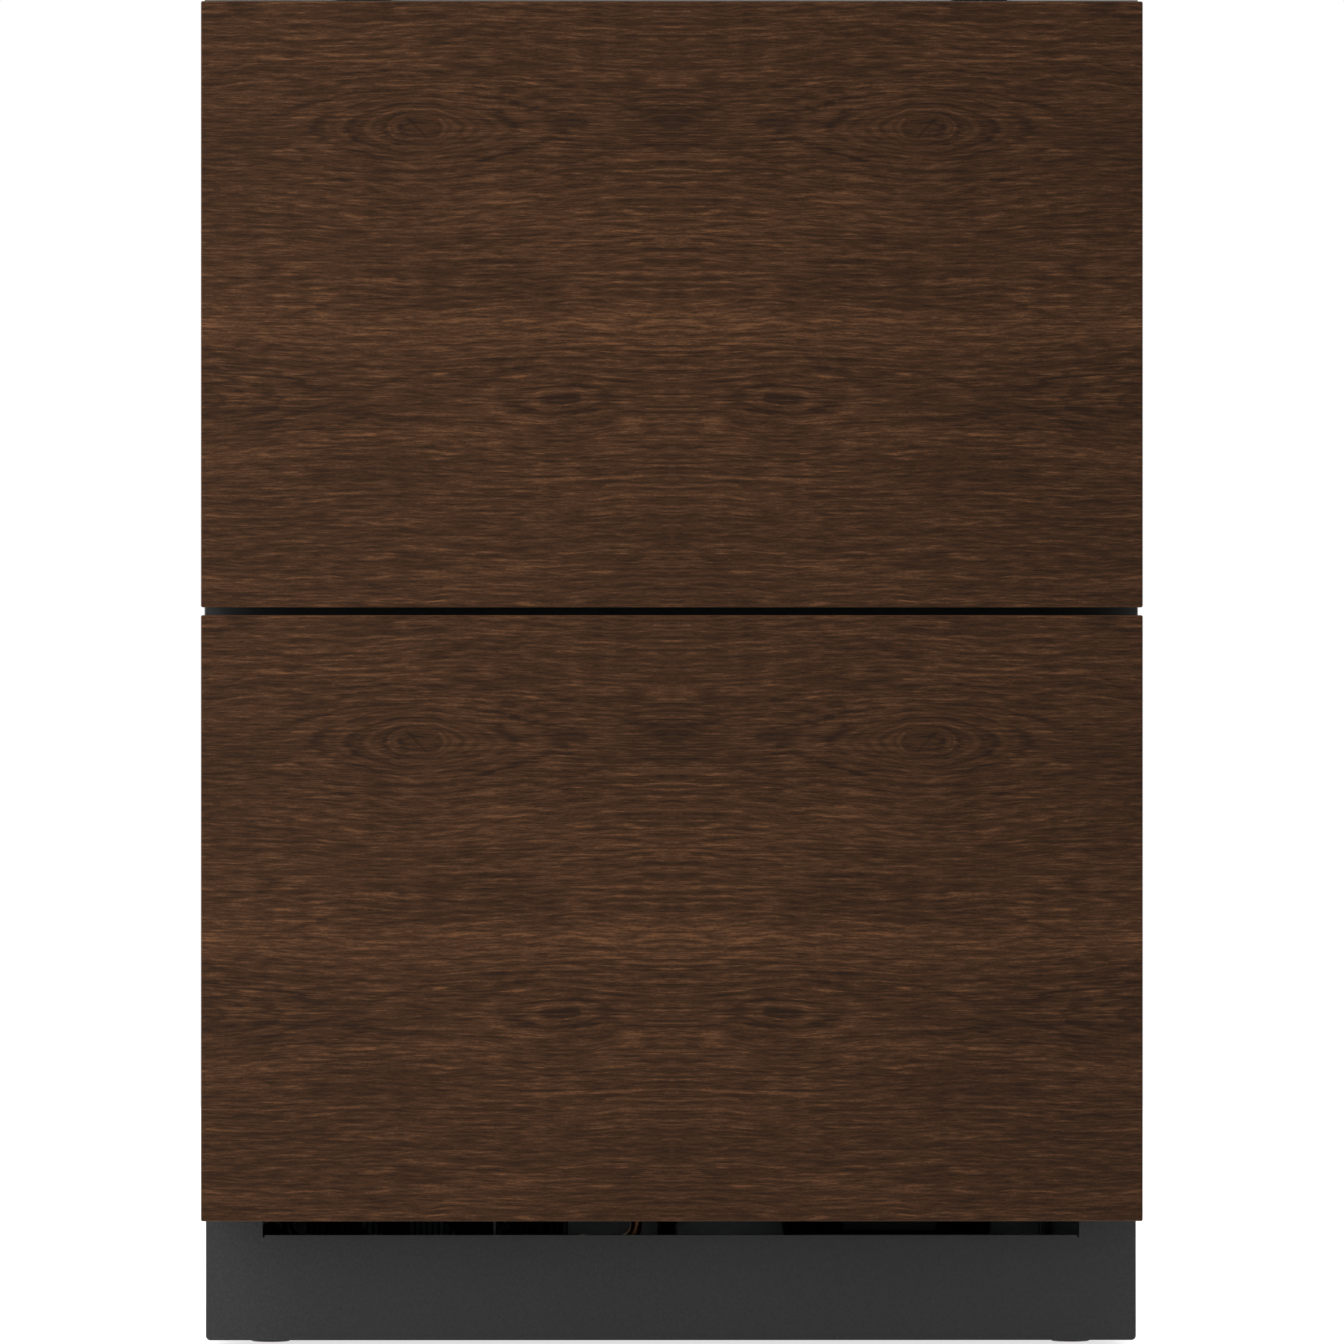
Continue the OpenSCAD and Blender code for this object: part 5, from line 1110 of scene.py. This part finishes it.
def blade(turn, centre, hub, tip, deep):
    """One closed blade, rings are sections from just inside the hub to the rounded tip."""
    s = np.linspace(0, 1, 10)[:, None]
    u = np.linspace(0, 2 * math.pi, 22, endpoint=False)[None]
    pitch = np.radians(ROOT_PITCH + (TIP_PITCH - ROOT_PITCH) * s)
    round_tip = np.sqrt(np.clip(1 - np.clip((s - 0.8) / 0.2, 0, 1) ** 2 * 0.75, 0, 1))
    root, end = hub * 1.15, deep * 0.88 / math.sin(math.radians(TIP_PITCH))
    chord = (root + (end - root) * s) * round_tip
    thick = (0.0011 - 0.0004 * s) * (0.35 + 0.65 * np.sin(u / 2) ** 2)
    along, over = chord / 2 * np.cos(u), thick * np.sin(u) + chord * 0.05
    r = hub - BLADE_SUNK + (tip - hub + BLADE_SUNK) * s + 0 * u
    angle = turn + SWEEP * s ** 2 + (along * np.cos(pitch) - over * np.sin(pitch)) / r
    axial = along * np.sin(pitch) + over * np.cos(pitch)
    return skin(np.stack([r * np.cos(angle), axial, r * np.sin(angle)], -1) + np.array(centre))


def fan(node, hub, blades, shaft):
    """Hub and blades of a fan node, within its box. The hub is a closed section round the bore."""
    x, y, z = span(node)
    centre = np.array([AXLE[node][0], (y[0] + y[1]) / 2, AXLE[node][2]])
    half = (y[1] - y[0]) / 2
    section = [(shaft, -half), (shaft + 0.0015, -half), (hub * 0.62, -half + 0.0004),
               (hub * 0.86, -half + 0.0016), (hub * 0.97, -half + 0.0038), (hub, -half + 0.007),
               (hub, half), (hub - 0.0016, half), (hub - 0.0016, -half * 0.2),
               (shaft + 0.003, -half * 0.2), (shaft + 0.003, half), (shaft, half)]
    tip = max(centre[0] - x[0], x[1] - centre[0], centre[2] - z[0], z[1] - centre[2]) - 0.0003
    solids = [turned(section, centre, "y", 48, closed=True)]
    solids += [blade(2 * math.pi * k / blades, centre, hub, tip, 2 * half) for k in range(blades)]
    piece(node + "_rotor", solids, BLACK_PLASTIC, [node], sharp=50)


fan("condenser_fan", hub=0.018, blades=5, shaft=0.00305)
fan("evaporator_fan", hub=0.013, blades=7, shaft=0.00165)

# %% [markdown]
# ## Fan motors
# A small fan motor is a ribbed can that arms or a foot hold in place. The can is turned, and
# its ribs are steps in the profile. The arms are flat strips that end in the shroud.

# %% Fan motors
RIBS = 5


def motor(node, centre, radius, front, rear, shaft, shaft_front, holders):
    """A motor can with ribs, its shaft and its holders."""
    can = [(HAIR, front), (radius * 0.5, front), (radius * 0.62, front + 0.001),
           (radius * 0.94, front + 0.0012), (radius, front + 0.0028)]
    for k in range(RIBS):
        at = front + 0.006 + k * (rear - front - 0.012) / RIBS
        can += [(radius, at), (radius - 0.0008, at + 0.0006), (radius - 0.0008, at + 0.0014),
                (radius, at + 0.002)]
    can += [(radius, rear - 0.002), (radius - 0.0015, rear), (HAIR, rear)]
    rod = [(HAIR, shaft_front), (shaft * 0.8, shaft_front), (shaft, shaft_front + 0.0006),
           (shaft, front + 0.001), (HAIR, front + 0.001)]
    piece(node + "_can", [turned(can, centre, "y", 48), turned(rod, centre, "y", 20)] + holders,
          GALVANISED, [node])


def axle(fan_node):
    """The point where a fan's axle crosses y = 0."""
    return AXLE[fan_node][0], 0, AXLE[fan_node][2]


def arm(centre, turn, y, reach, root=0.02, half=0.005, tapered=0.003):
    """A flat strip from a motor to its shroud, turned about the axle, as thick as the y span."""
    way, side = np.array([math.cos(turn), math.sin(turn)]), np.array([-math.sin(turn), math.cos(turn)])
    outline = [(root, -half), (reach - 0.004, -half), (reach, -tapered), (reach, tapered),
               (reach - 0.004, half), (root, half)]
    return carried([way * p + side * q + (centre[0], centre[2]) for p, q in outline], "y", y)


ARM_REACH, ARM_SHEET, CAN_LONG, FOOT_SHEET, FOOT_HALF = 0.069, 0.003, 0.026, 0.004, 0.01
x, y, z = span("condenser_fan_motor")
centre, front = axle("condenser_fan"), y[1] - CAN_LONG
arms = [arm(centre, math.radians(turn), (front, front + ARM_SHEET), ARM_REACH)
        for turn in (45, 135, 225, 315)]
motor("condenser_fan_motor", centre, 0.026, front, y[1], 0.003, y[0], arms)
x, y, z = span("evaporator_fan_motor")
centre, front = axle("evaporator_fan"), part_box("evaporator_fan")[1].y + 0.002
foot = slab(x, (y[1] - FOOT_SHEET, y[1]), (centre[2] - FOOT_HALF, centre[2] + FOOT_HALF), 0.004, 0.0008)
motor("evaporator_fan_motor", centre, 0.020, front, y[1] - 0.0005, 0.0016, y[0], [foot])

# %% [markdown]
# ## Compressor
# The shell is two deep-drawn cups joined by a weld flange. The lower cup stands on a pressed
# plate whose ears hold rubber grommets. The profile of the cups is turned, the plate is an eased
# board, and the stubs are short tubes with a flare.

# %% Compressor
SHELL_R, CUP_BEND, EAR_X, EAR_Y, EAR_HALF = 0.0718, 0.026, 0.094, 0.058, 0.014
STUB = (0.005, -0.002), (0.005, 0.010), (0.0058, 0.0112), (0.0058, 0.0138), (0.0046, 0.014), (HAIR, 0.014)
x, y, (low, high) = span("compressor_shell")
comp = np.array([(x[0] + x[1]) / 2, (y[0] + y[1]) / 2, 0.0])
cup_low, cup_high = low + 0.010, high - 0.010
seam, discharge_z = cup_low + 0.087, cup_low + 0.110
a = np.linspace(0, math.pi / 2, 8)
shell = [(HAIR, cup_low)]
shell += [(SHELL_R - CUP_BEND * (1 - math.sin(k)), cup_low + CUP_BEND * (1 - math.cos(k))) for k in a]
shell += [(SHELL_R + out, seam + up) for out, up in (
    (0, -0.001), (0.0008, 0), (0.0028, 0.0006), (0.003, 0.0026), (0.0014, 0.0046), (-0.0006, 0.0052))]
shell += [(SHELL_R - 0.0306 + 0.030 * math.cos(k), cup_high - CUP_BEND * (1 - math.sin(k))) for k in a]
shell += [(HAIR, cup_high)]
dish = [(HAIR, low + 0.0001), (0.046, low + 0.0001), (0.050, low + 0.0045), (0.046, low + 0.011),
        (HAIR, low + 0.011)]
solids = [turned(shell, comp, "z", 72)]
for at in (comp[1] - EAR_Y, comp[1] + EAR_Y):
    ears = oblong((comp[0] - EAR_X, comp[0] + EAR_X), (at - EAR_HALF, at + EAR_HALF), 0.010)
    solids.append(carried(ears, "z", (low + 0.0001, low + 0.0029)))
solids.append(turned(dish, comp, "z", 48))
solids.append(turned([(HAIR, -0.004), *STUB], (comp[0] - 0.072, comp[1], discharge_z), "-x", 24))
solids.append(turned([(HAIR, -0.006), *((r, h - 0.004) for r, h in STUB)],
                     (comp[0] + 0.025, comp[1], cup_high), "z", 24))
piece("compressor_body", solids, GLOSS_BLACK, ["compressor_shell"], bevel=0.0005)

# %% [markdown]
# ## Compressor mounts
# Four rubber grommets carry the compressor and keep its hum out of the cabinet. A shoulder bolt
# holds each one without squeezing it. Both are turned profiles, set on every separate solid of
# the drawn part and made as high as that solid.

# %% Compressor mounts
def on_each(node, profile, sides, shape=None, closed=False):
    """The profile turned upright on each solid of a node. It takes the solid's height."""
    out = []
    for low, high in solids_of(node):
        foot = (low[0] + high[0]) / 2, (low[1] + high[1]) / 2, low[2]
        out.append(turned(profile(high[2] - low[2]), foot, "z", sides, shape, closed))
    return out


def grommet(top):
    """Section of a rubber grommet round its bore, with a groove for the plate's ear."""
    return [(0.0041, 0), (0.0108, 0), (0.011, 0.0012), (0.0102, 0.0024), (0.011, 0.0038),
            (0.0106, 0.0076), (0.008, 0.0081), (0.008, 0.0112), (0.0096, 0.0113), (0.0099, 0.0122),
            (0.0092, top), (0.0041, top)]


def shoulder_bolt(top):
    """Profile of a shoulder bolt: shank, washer and hexagon head."""
    return [(HAIR, 0), (0.004, 0), (0.004, top - 0.0076), (0.0088, top - 0.0075), (0.009, top - 0.0068),
            (0.0088, top - 0.0061), (0.0069, top - 0.0060), (0.0069, top - 0.0058, 1),
            (0.0069, top - 0.0009, 1), (0.0058, top, 0.4), (HAIR, top)]


piece("compressor_grommet_set", on_each("compressor_grommets", grommet, 32, closed=True), RUBBER,
      ["compressor_grommets"])
piece("compressor_bolt_set", on_each("compressor_bolts", shoulder_bolt, 36, hexagon), ZINC,
      ["compressor_bolts"])

# %% [markdown]
# ## Coils
# Condenser and evaporator are one long tube, bent to and fro through a pack of thin fins. The
# tube is a circle carried along straight runs and half circles. Real packs have a fin every
# few millimetres, so the drawing's fins are doubled here, and each is slightly wavy: its offset
# is w sin(2 pi y / depth * 2).

# %% Coils
COIL_BEND, LINE_R, COIL_TAIL, END_PLATE = 0.012, 0.004, 0.008, 0.0018
FIN_SHEET, FIN_WAVE, COND_OVER, EVAP_OVER, EVAP_FIN = 0.0003, 0.0006, 0.014, 0.012, 0.044


def to_and_fro(half, y, z0, rows, pitch, tail):
    """Line of a serpentine: rows run along x, half circles of radius pitch / 2 join their ends."""
    line = [np.array([[half + tail, y, z0]])]
    bend = np.linspace(-math.pi / 2, math.pi / 2, 9)
    for k in range(rows - 1):
        way = -1 if k % 2 == 0 else 1
        line.append(np.stack([way * (half + pitch / 2 * np.cos(bend)), 0 * bend + y,
                              z0 + (k + 0.5) * pitch + pitch / 2 * np.sin(bend)], -1))
    end = half + tail if rows % 2 == 0 else -half - tail
    line.append(np.array([[end, y, z0 + (rows - 1) * pitch]]))
    return np.concatenate(line)


def wavy_fins(half, y, z, count, thickness, wave):
    """A pack of upright fins, each a thin closed sheet whose section waves along y."""
    at = np.linspace(y[0], y[1], 13)
    sway = wave * np.sin(np.linspace(0, 4 * math.pi, 13))
    loop = np.concatenate([np.stack([sway - thickness / 2, at], -1),
                           np.stack([sway + thickness / 2, at], -1)[::-1]])
    outermost = half - wave - 0.003
    return [carried(loop + (x, 0), "z", z) for x in np.linspace(-outermost, outermost, count)]


def coil(node, rows, fins, fin_y, over, finish):
    """A coil inside its node's box: tube, wavy fins, and an end plate at each side of the pack."""
    x, y, z = span(node)
    half, mid = (x[1] - x[0]) / 2 - COIL_BEND - LINE_R, np.array([(x[0] + x[1]) / 2, 0, 0])
    top = z[1] - over
    z0 = top - (rows - 1) * 2 * COIL_BEND
    line = to_and_fro(half, (fin_y[0] + fin_y[1]) / 2, z0, rows, 2 * COIL_BEND, COIL_TAIL)
    solids = [tube(line, LINE_R, 14)]
    solids += wavy_fins(half - 0.002, fin_y, (z0 - over, top + over), fins, FIN_SHEET, FIN_WAVE)
    solids.append(blocks([(-half, y[0], z[0]), (half - END_PLATE, y[0], z[0])],
                         [(-half + END_PLATE, y[1], z[1]), (half, y[1], z[1])]))
    piece(node + "_pack", [(p + mid, q, c) for p, q, c in solids], finish, [node])
    print(node, rows, "rows,", fins, "fins")


x, y, z = span("condenser_coil")
coil("condenser_coil", 6, 42, y, COND_OVER, GLOSS_BLACK)
x, y, z = span("evaporator_coil")
coil("evaporator_coil", 8, 56, (y[0], y[0] + EVAP_FIN), EVAP_OVER, FIN)

# %% [markdown]
# ## Refrigerant pipes
# The pipes are copper tubes with bends of 12 mm. Each is a line with rounded corners and a
# circle carried along it. The filter drier in the liquid line is a wider copper body with necks
# spun down to the tube's size, so the same tube function gets a radius for every point.

# %% Refrigerant pipes
PIPE_BEND, CAPILLARY_R, COLLAR = 0.012, 0.0015, 0.007


def pipe(radius, points):
    """A pipe along corner points, bent round at each corner, with a brazed collar at both ends."""
    line = rounded_path(points, PIPE_BEND, 7)
    out = [tube(line, radius, 14)]
    for end, inner in ((line[0], line[1]), (line[-1], line[-2])):
        way = (inner - end) / np.linalg.norm(inner - end)
        s = np.linspace(0, 1, 6)
        collar = radius + 0.0009 * np.sin(np.pi * (0.15 + 0.7 * s))
        out.append(tube(end + way * COLLAR * s[:, None], collar, 14))
    return out


pipes_low, pipes_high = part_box("refrigerant_pipes")
cond_low, cond_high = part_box("condenser_coil")
evap_low, evap_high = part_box("evaporator_coil")
END_IN = COIL_BEND + LINE_R - COIL_TAIL
cond_x, cond_y, cond_z = cond_high.x - END_IN, (cond_low.y + cond_high.y) / 2, cond_high.z - COND_OVER
evap_x, evap_y, evap_z = evap_high.x - END_IN, evap_low.y + EVAP_FIN / 2, evap_high.z - EVAP_OVER
outlet_z, inlet_z = pipes_low.z + LINE_R, evap_low.z + EVAP_OVER
rise_x, run_z, rear_y, under_z = cond_x + 0.024, cond_z + 0.045, pipes_high.y - CAPILLARY_R, 0.262
drier_x, drier_y, drier_z = cond_x + 0.040, (cond_y + 0.038, cond_y + 0.108), outlet_z + 0.032
capillary_x, suction_x, turn_z = pipes_high.x - CAPILLARY_R, pipes_high.x - 0.0145, under_z - 0.008
stub_x = comp[0] + 0.025
solids = pipe(LINE_R, [
    (comp[0] - 0.086, comp[1], discharge_z), (rise_x, comp[1], discharge_z), (rise_x, comp[1], run_z),
    (rise_x, cond_y, run_z), (rise_x, cond_y, cond_z), (cond_x, cond_y, cond_z)])
solids += pipe(LINE_R, [
    (cond_x, cond_y, outlet_z), (drier_x, cond_y, outlet_z), (drier_x, cond_y, drier_z),
    (drier_x, drier_y[0], drier_z)])
solids += pipe(CAPILLARY_R, [
    (drier_x, drier_y[1], drier_z), (drier_x, rear_y, drier_z), (drier_x, rear_y, under_z),
    (capillary_x, rear_y, under_z), (capillary_x, evap_y, under_z), (capillary_x, evap_y, evap_z),
    (evap_x, evap_y, evap_z)])
solids += pipe(LINE_R, [
    (evap_x, evap_y, inlet_z), (suction_x, evap_y, inlet_z), (suction_x, evap_y, turn_z),
    (stub_x, evap_y, turn_z), (stub_x, comp[1], turn_z), (stub_x, comp[1], high)])
drier = [(0, 0.0042), (0.004, 0.0046), (0.010, 0.0085), (0.018, 0.010), (0.052, 0.010), (0.060, 0.0085),
         (0.066, 0.0046), (0.070, 0.0020)]
solids.append(tube([(drier_x, drier_y[0] + s, drier_z) for s, _ in drier], [r for _, r in drier], 24))
piece("copper_pipes", solids, COPPER, ["refrigerant_pipes"])
print("suction line at x", round(suction_x, 4), "discharge line at z", round(discharge_z, 4))

# %% [markdown]
# ## Drain
# Defrost water runs through a funnel in the cold floor and down a corrugated tube into a pan,
# where the warm air dries it up. The tube's radius swings along its length, which makes the
# corrugations. The pan is moulded with drafted walls and round corners.

# %% Drain
RIB_PITCH, LAST_RIB, FUNNEL_LOW = 0.0035, 0.286, 0.290
x, y, (low, high) = span("drain_tube")
ribs = np.arange(low + 0.004, LAST_RIB, RIB_PITCH)
outside = [(0.0068, low)] + [(0.0070 if k % 2 else 0.0063, h) for k, h in enumerate(ribs)]
funnel = [(0.007, FUNNEL_LOW), (0.007, high - 0.002), (0.0152, high - 0.002), (0.016, high - 0.0012),
          (0.0156, high), (0.0120, high - 0.0002), (0.0075, high - 0.0022), (0.0055, high - 0.006)]
centre = ((x[0] + x[1]) / 2, (y[0] + y[1]) / 2, 0)
hose = turned(outside + funnel + [(0.0055, low)], centre, "z", 32, closed=True)
piece("drain_hose", [hose], RUBBER, ["drain_tube"])


def tray(x, y, z, thickness, corner, draft):
    """A moulded tray: rings run down the inside, which is narrower at the floor, and up the outside."""
    rings = [(thickness + draft, z[0] + thickness), (thickness + draft * 0.6, z[0] + thickness + 0.002),
             (thickness, z[1]), (0, z[1]), (0, z[1] - 0.002), (draft * 0.6, z[0] + 0.002),
             (draft + 0.001, z[0])]
    return nested(x, y, rings, corner, 0.001, 2)


piece("drain_tray", [tray(*span("drain_pan"), thickness=0.0015, corner=0.008, draft=0.002)],
      BLACK_PLASTIC, ["drain_pan"])

# %% [markdown]
# ## Sheet metal and moulded covers
# Flat sheet parts keep the shape of the drawing. Their triangles are joined into whole faces
# on a copy, so that a narrow bevel can run along the real edges. Folded steel gets a bevel of
# 0.3 to 0.6 mm and moulded plastic one of 0.6 mm or more, because a mould can't have a sharp
# corner. The dividers are cut from sheet, so their bevel is that of folded steel.

# %% Sheet metal and moulded covers
THIN, MOULD = 0.0003, 0.0006
# Face frame, mullion and base pan take the dark paint that is partly painted shade for the deep gap and the slot.
for node, finish, bevel in (
        ("outer_case", CASE_PAINT, 0.0006), ("back_panel", CASE_PAINT, FOLD),
        ("counter_brackets", CASE_PAINT, FOLD), ("face_frame", DARK_PAINT_AND_SHADE, FOLD),
        ("mullion", DARK_PAINT_AND_SHADE, FOLD), ("inner_liner", STAINLESS_SIDES, FOLD),
        ("evaporator_cover", STAINLESS, THIN), ("base_pan", DARK_PAINT_AND_SHADE, FOLD),
        ("rear_grille", GALVANISED, THIN), ("condenser_shroud", BLACK_PLASTIC, MOULD),
        ("power_board_box", LIGHT_PLASTIC, MOULD), ("control_housing", LIGHT_PLASTIC, MOULD),
        ("terminal_cover", BLACK_PLASTIC, 0.0025), ("led_lens", LENS, FOLD),
        ("upper_box", STAINLESS_SIDES, THIN), ("lower_box", STAINLESS_SIDES, THIN),
        ("upper_divider", CLEAR_GREY, FOLD), ("lower_divider", CLEAR_GREY, FOLD)):
    dressed(node, finish, bevel)

# %% [markdown]
# ## Foam and front liners
# The foam is hidden unless the parts are taken apart, and the front liners are flat sheets.
# Both keep the drawn mesh, and only their finish changes.

# %% Foam and front liners
for node in ("cabinet_foam", "upper_front_foam", "lower_front_foam", "upper_front_liner",
             "lower_front_liner"):
    for place in frame["nodes"][node].material_slots:
        place.material = FOAM if "foam" in node else LIGHT_PLASTIC
        print(node, "finished as", place.material.name)

# %% [markdown]
# ## Floor
# The floor is pale and plain and takes a soft shadow. Seen by the camera it is as white as the
# room. A white floor of plain paint would come out grey, so it also shines a little by itself.

# %% Floor
def pale_floor():
    """A pale floor. The camera and reflections see it as white wherever the lamps reach it, and a
    camera under the floor looks through it."""
    f = Finish("pale_floor", 0.8)
    rays = f.node("ShaderNodeLightPath").outputs
    seen = f.math("MAXIMUM", f.math("MAXIMUM", rays["Is Camera Ray"], rays["Is Glossy Ray"]),
                  rays["Is Transmission Ray"])
    f.shader.inputs["Emission Color"].default_value = (1, 1, 1, 1)
    f.feed(f.shader.inputs["Emission Strength"], f.times(seen, 0.72))
    f.wear(f.shade(f.grain(40, 40, 40), (226, 226, 225), 0.012), 0.8, [(f.grain(300, 300, 300), 0.0001)])
    from_below = f.node("ShaderNodeNewGeometry").outputs["Backfacing"]
    clear = f.node("ShaderNodeBsdfTransparent").outputs[0]
    either = f.node("ShaderNodeMixShader", from_below, f.shader.outputs[0], clear).outputs[0]
    f.feed(f.tree.nodes["Material Output"].inputs["Surface"], either)
    return f.material


FLOOR = 4.0
floor_mesh = bpy.data.meshes.new("floor")
corners = [(-FLOOR, -FLOOR, 0), (FLOOR, -FLOOR, 0), (FLOOR, FLOOR, 0), (-FLOOR, FLOOR, 0)]
floor_mesh.from_pydata(corners, [], [(0, 1, 2, 3)])
floor_mesh.materials.append(pale_floor())
floor = bpy.data.objects.new("floor", floor_mesh)
bpy.context.scene.collection.objects.link(floor)

# %% [markdown]
# ## View transform
# The Standard view transform shows each colour as it is written.

# %% View transform
bpy.context.scene.view_settings.view_transform = "Standard"
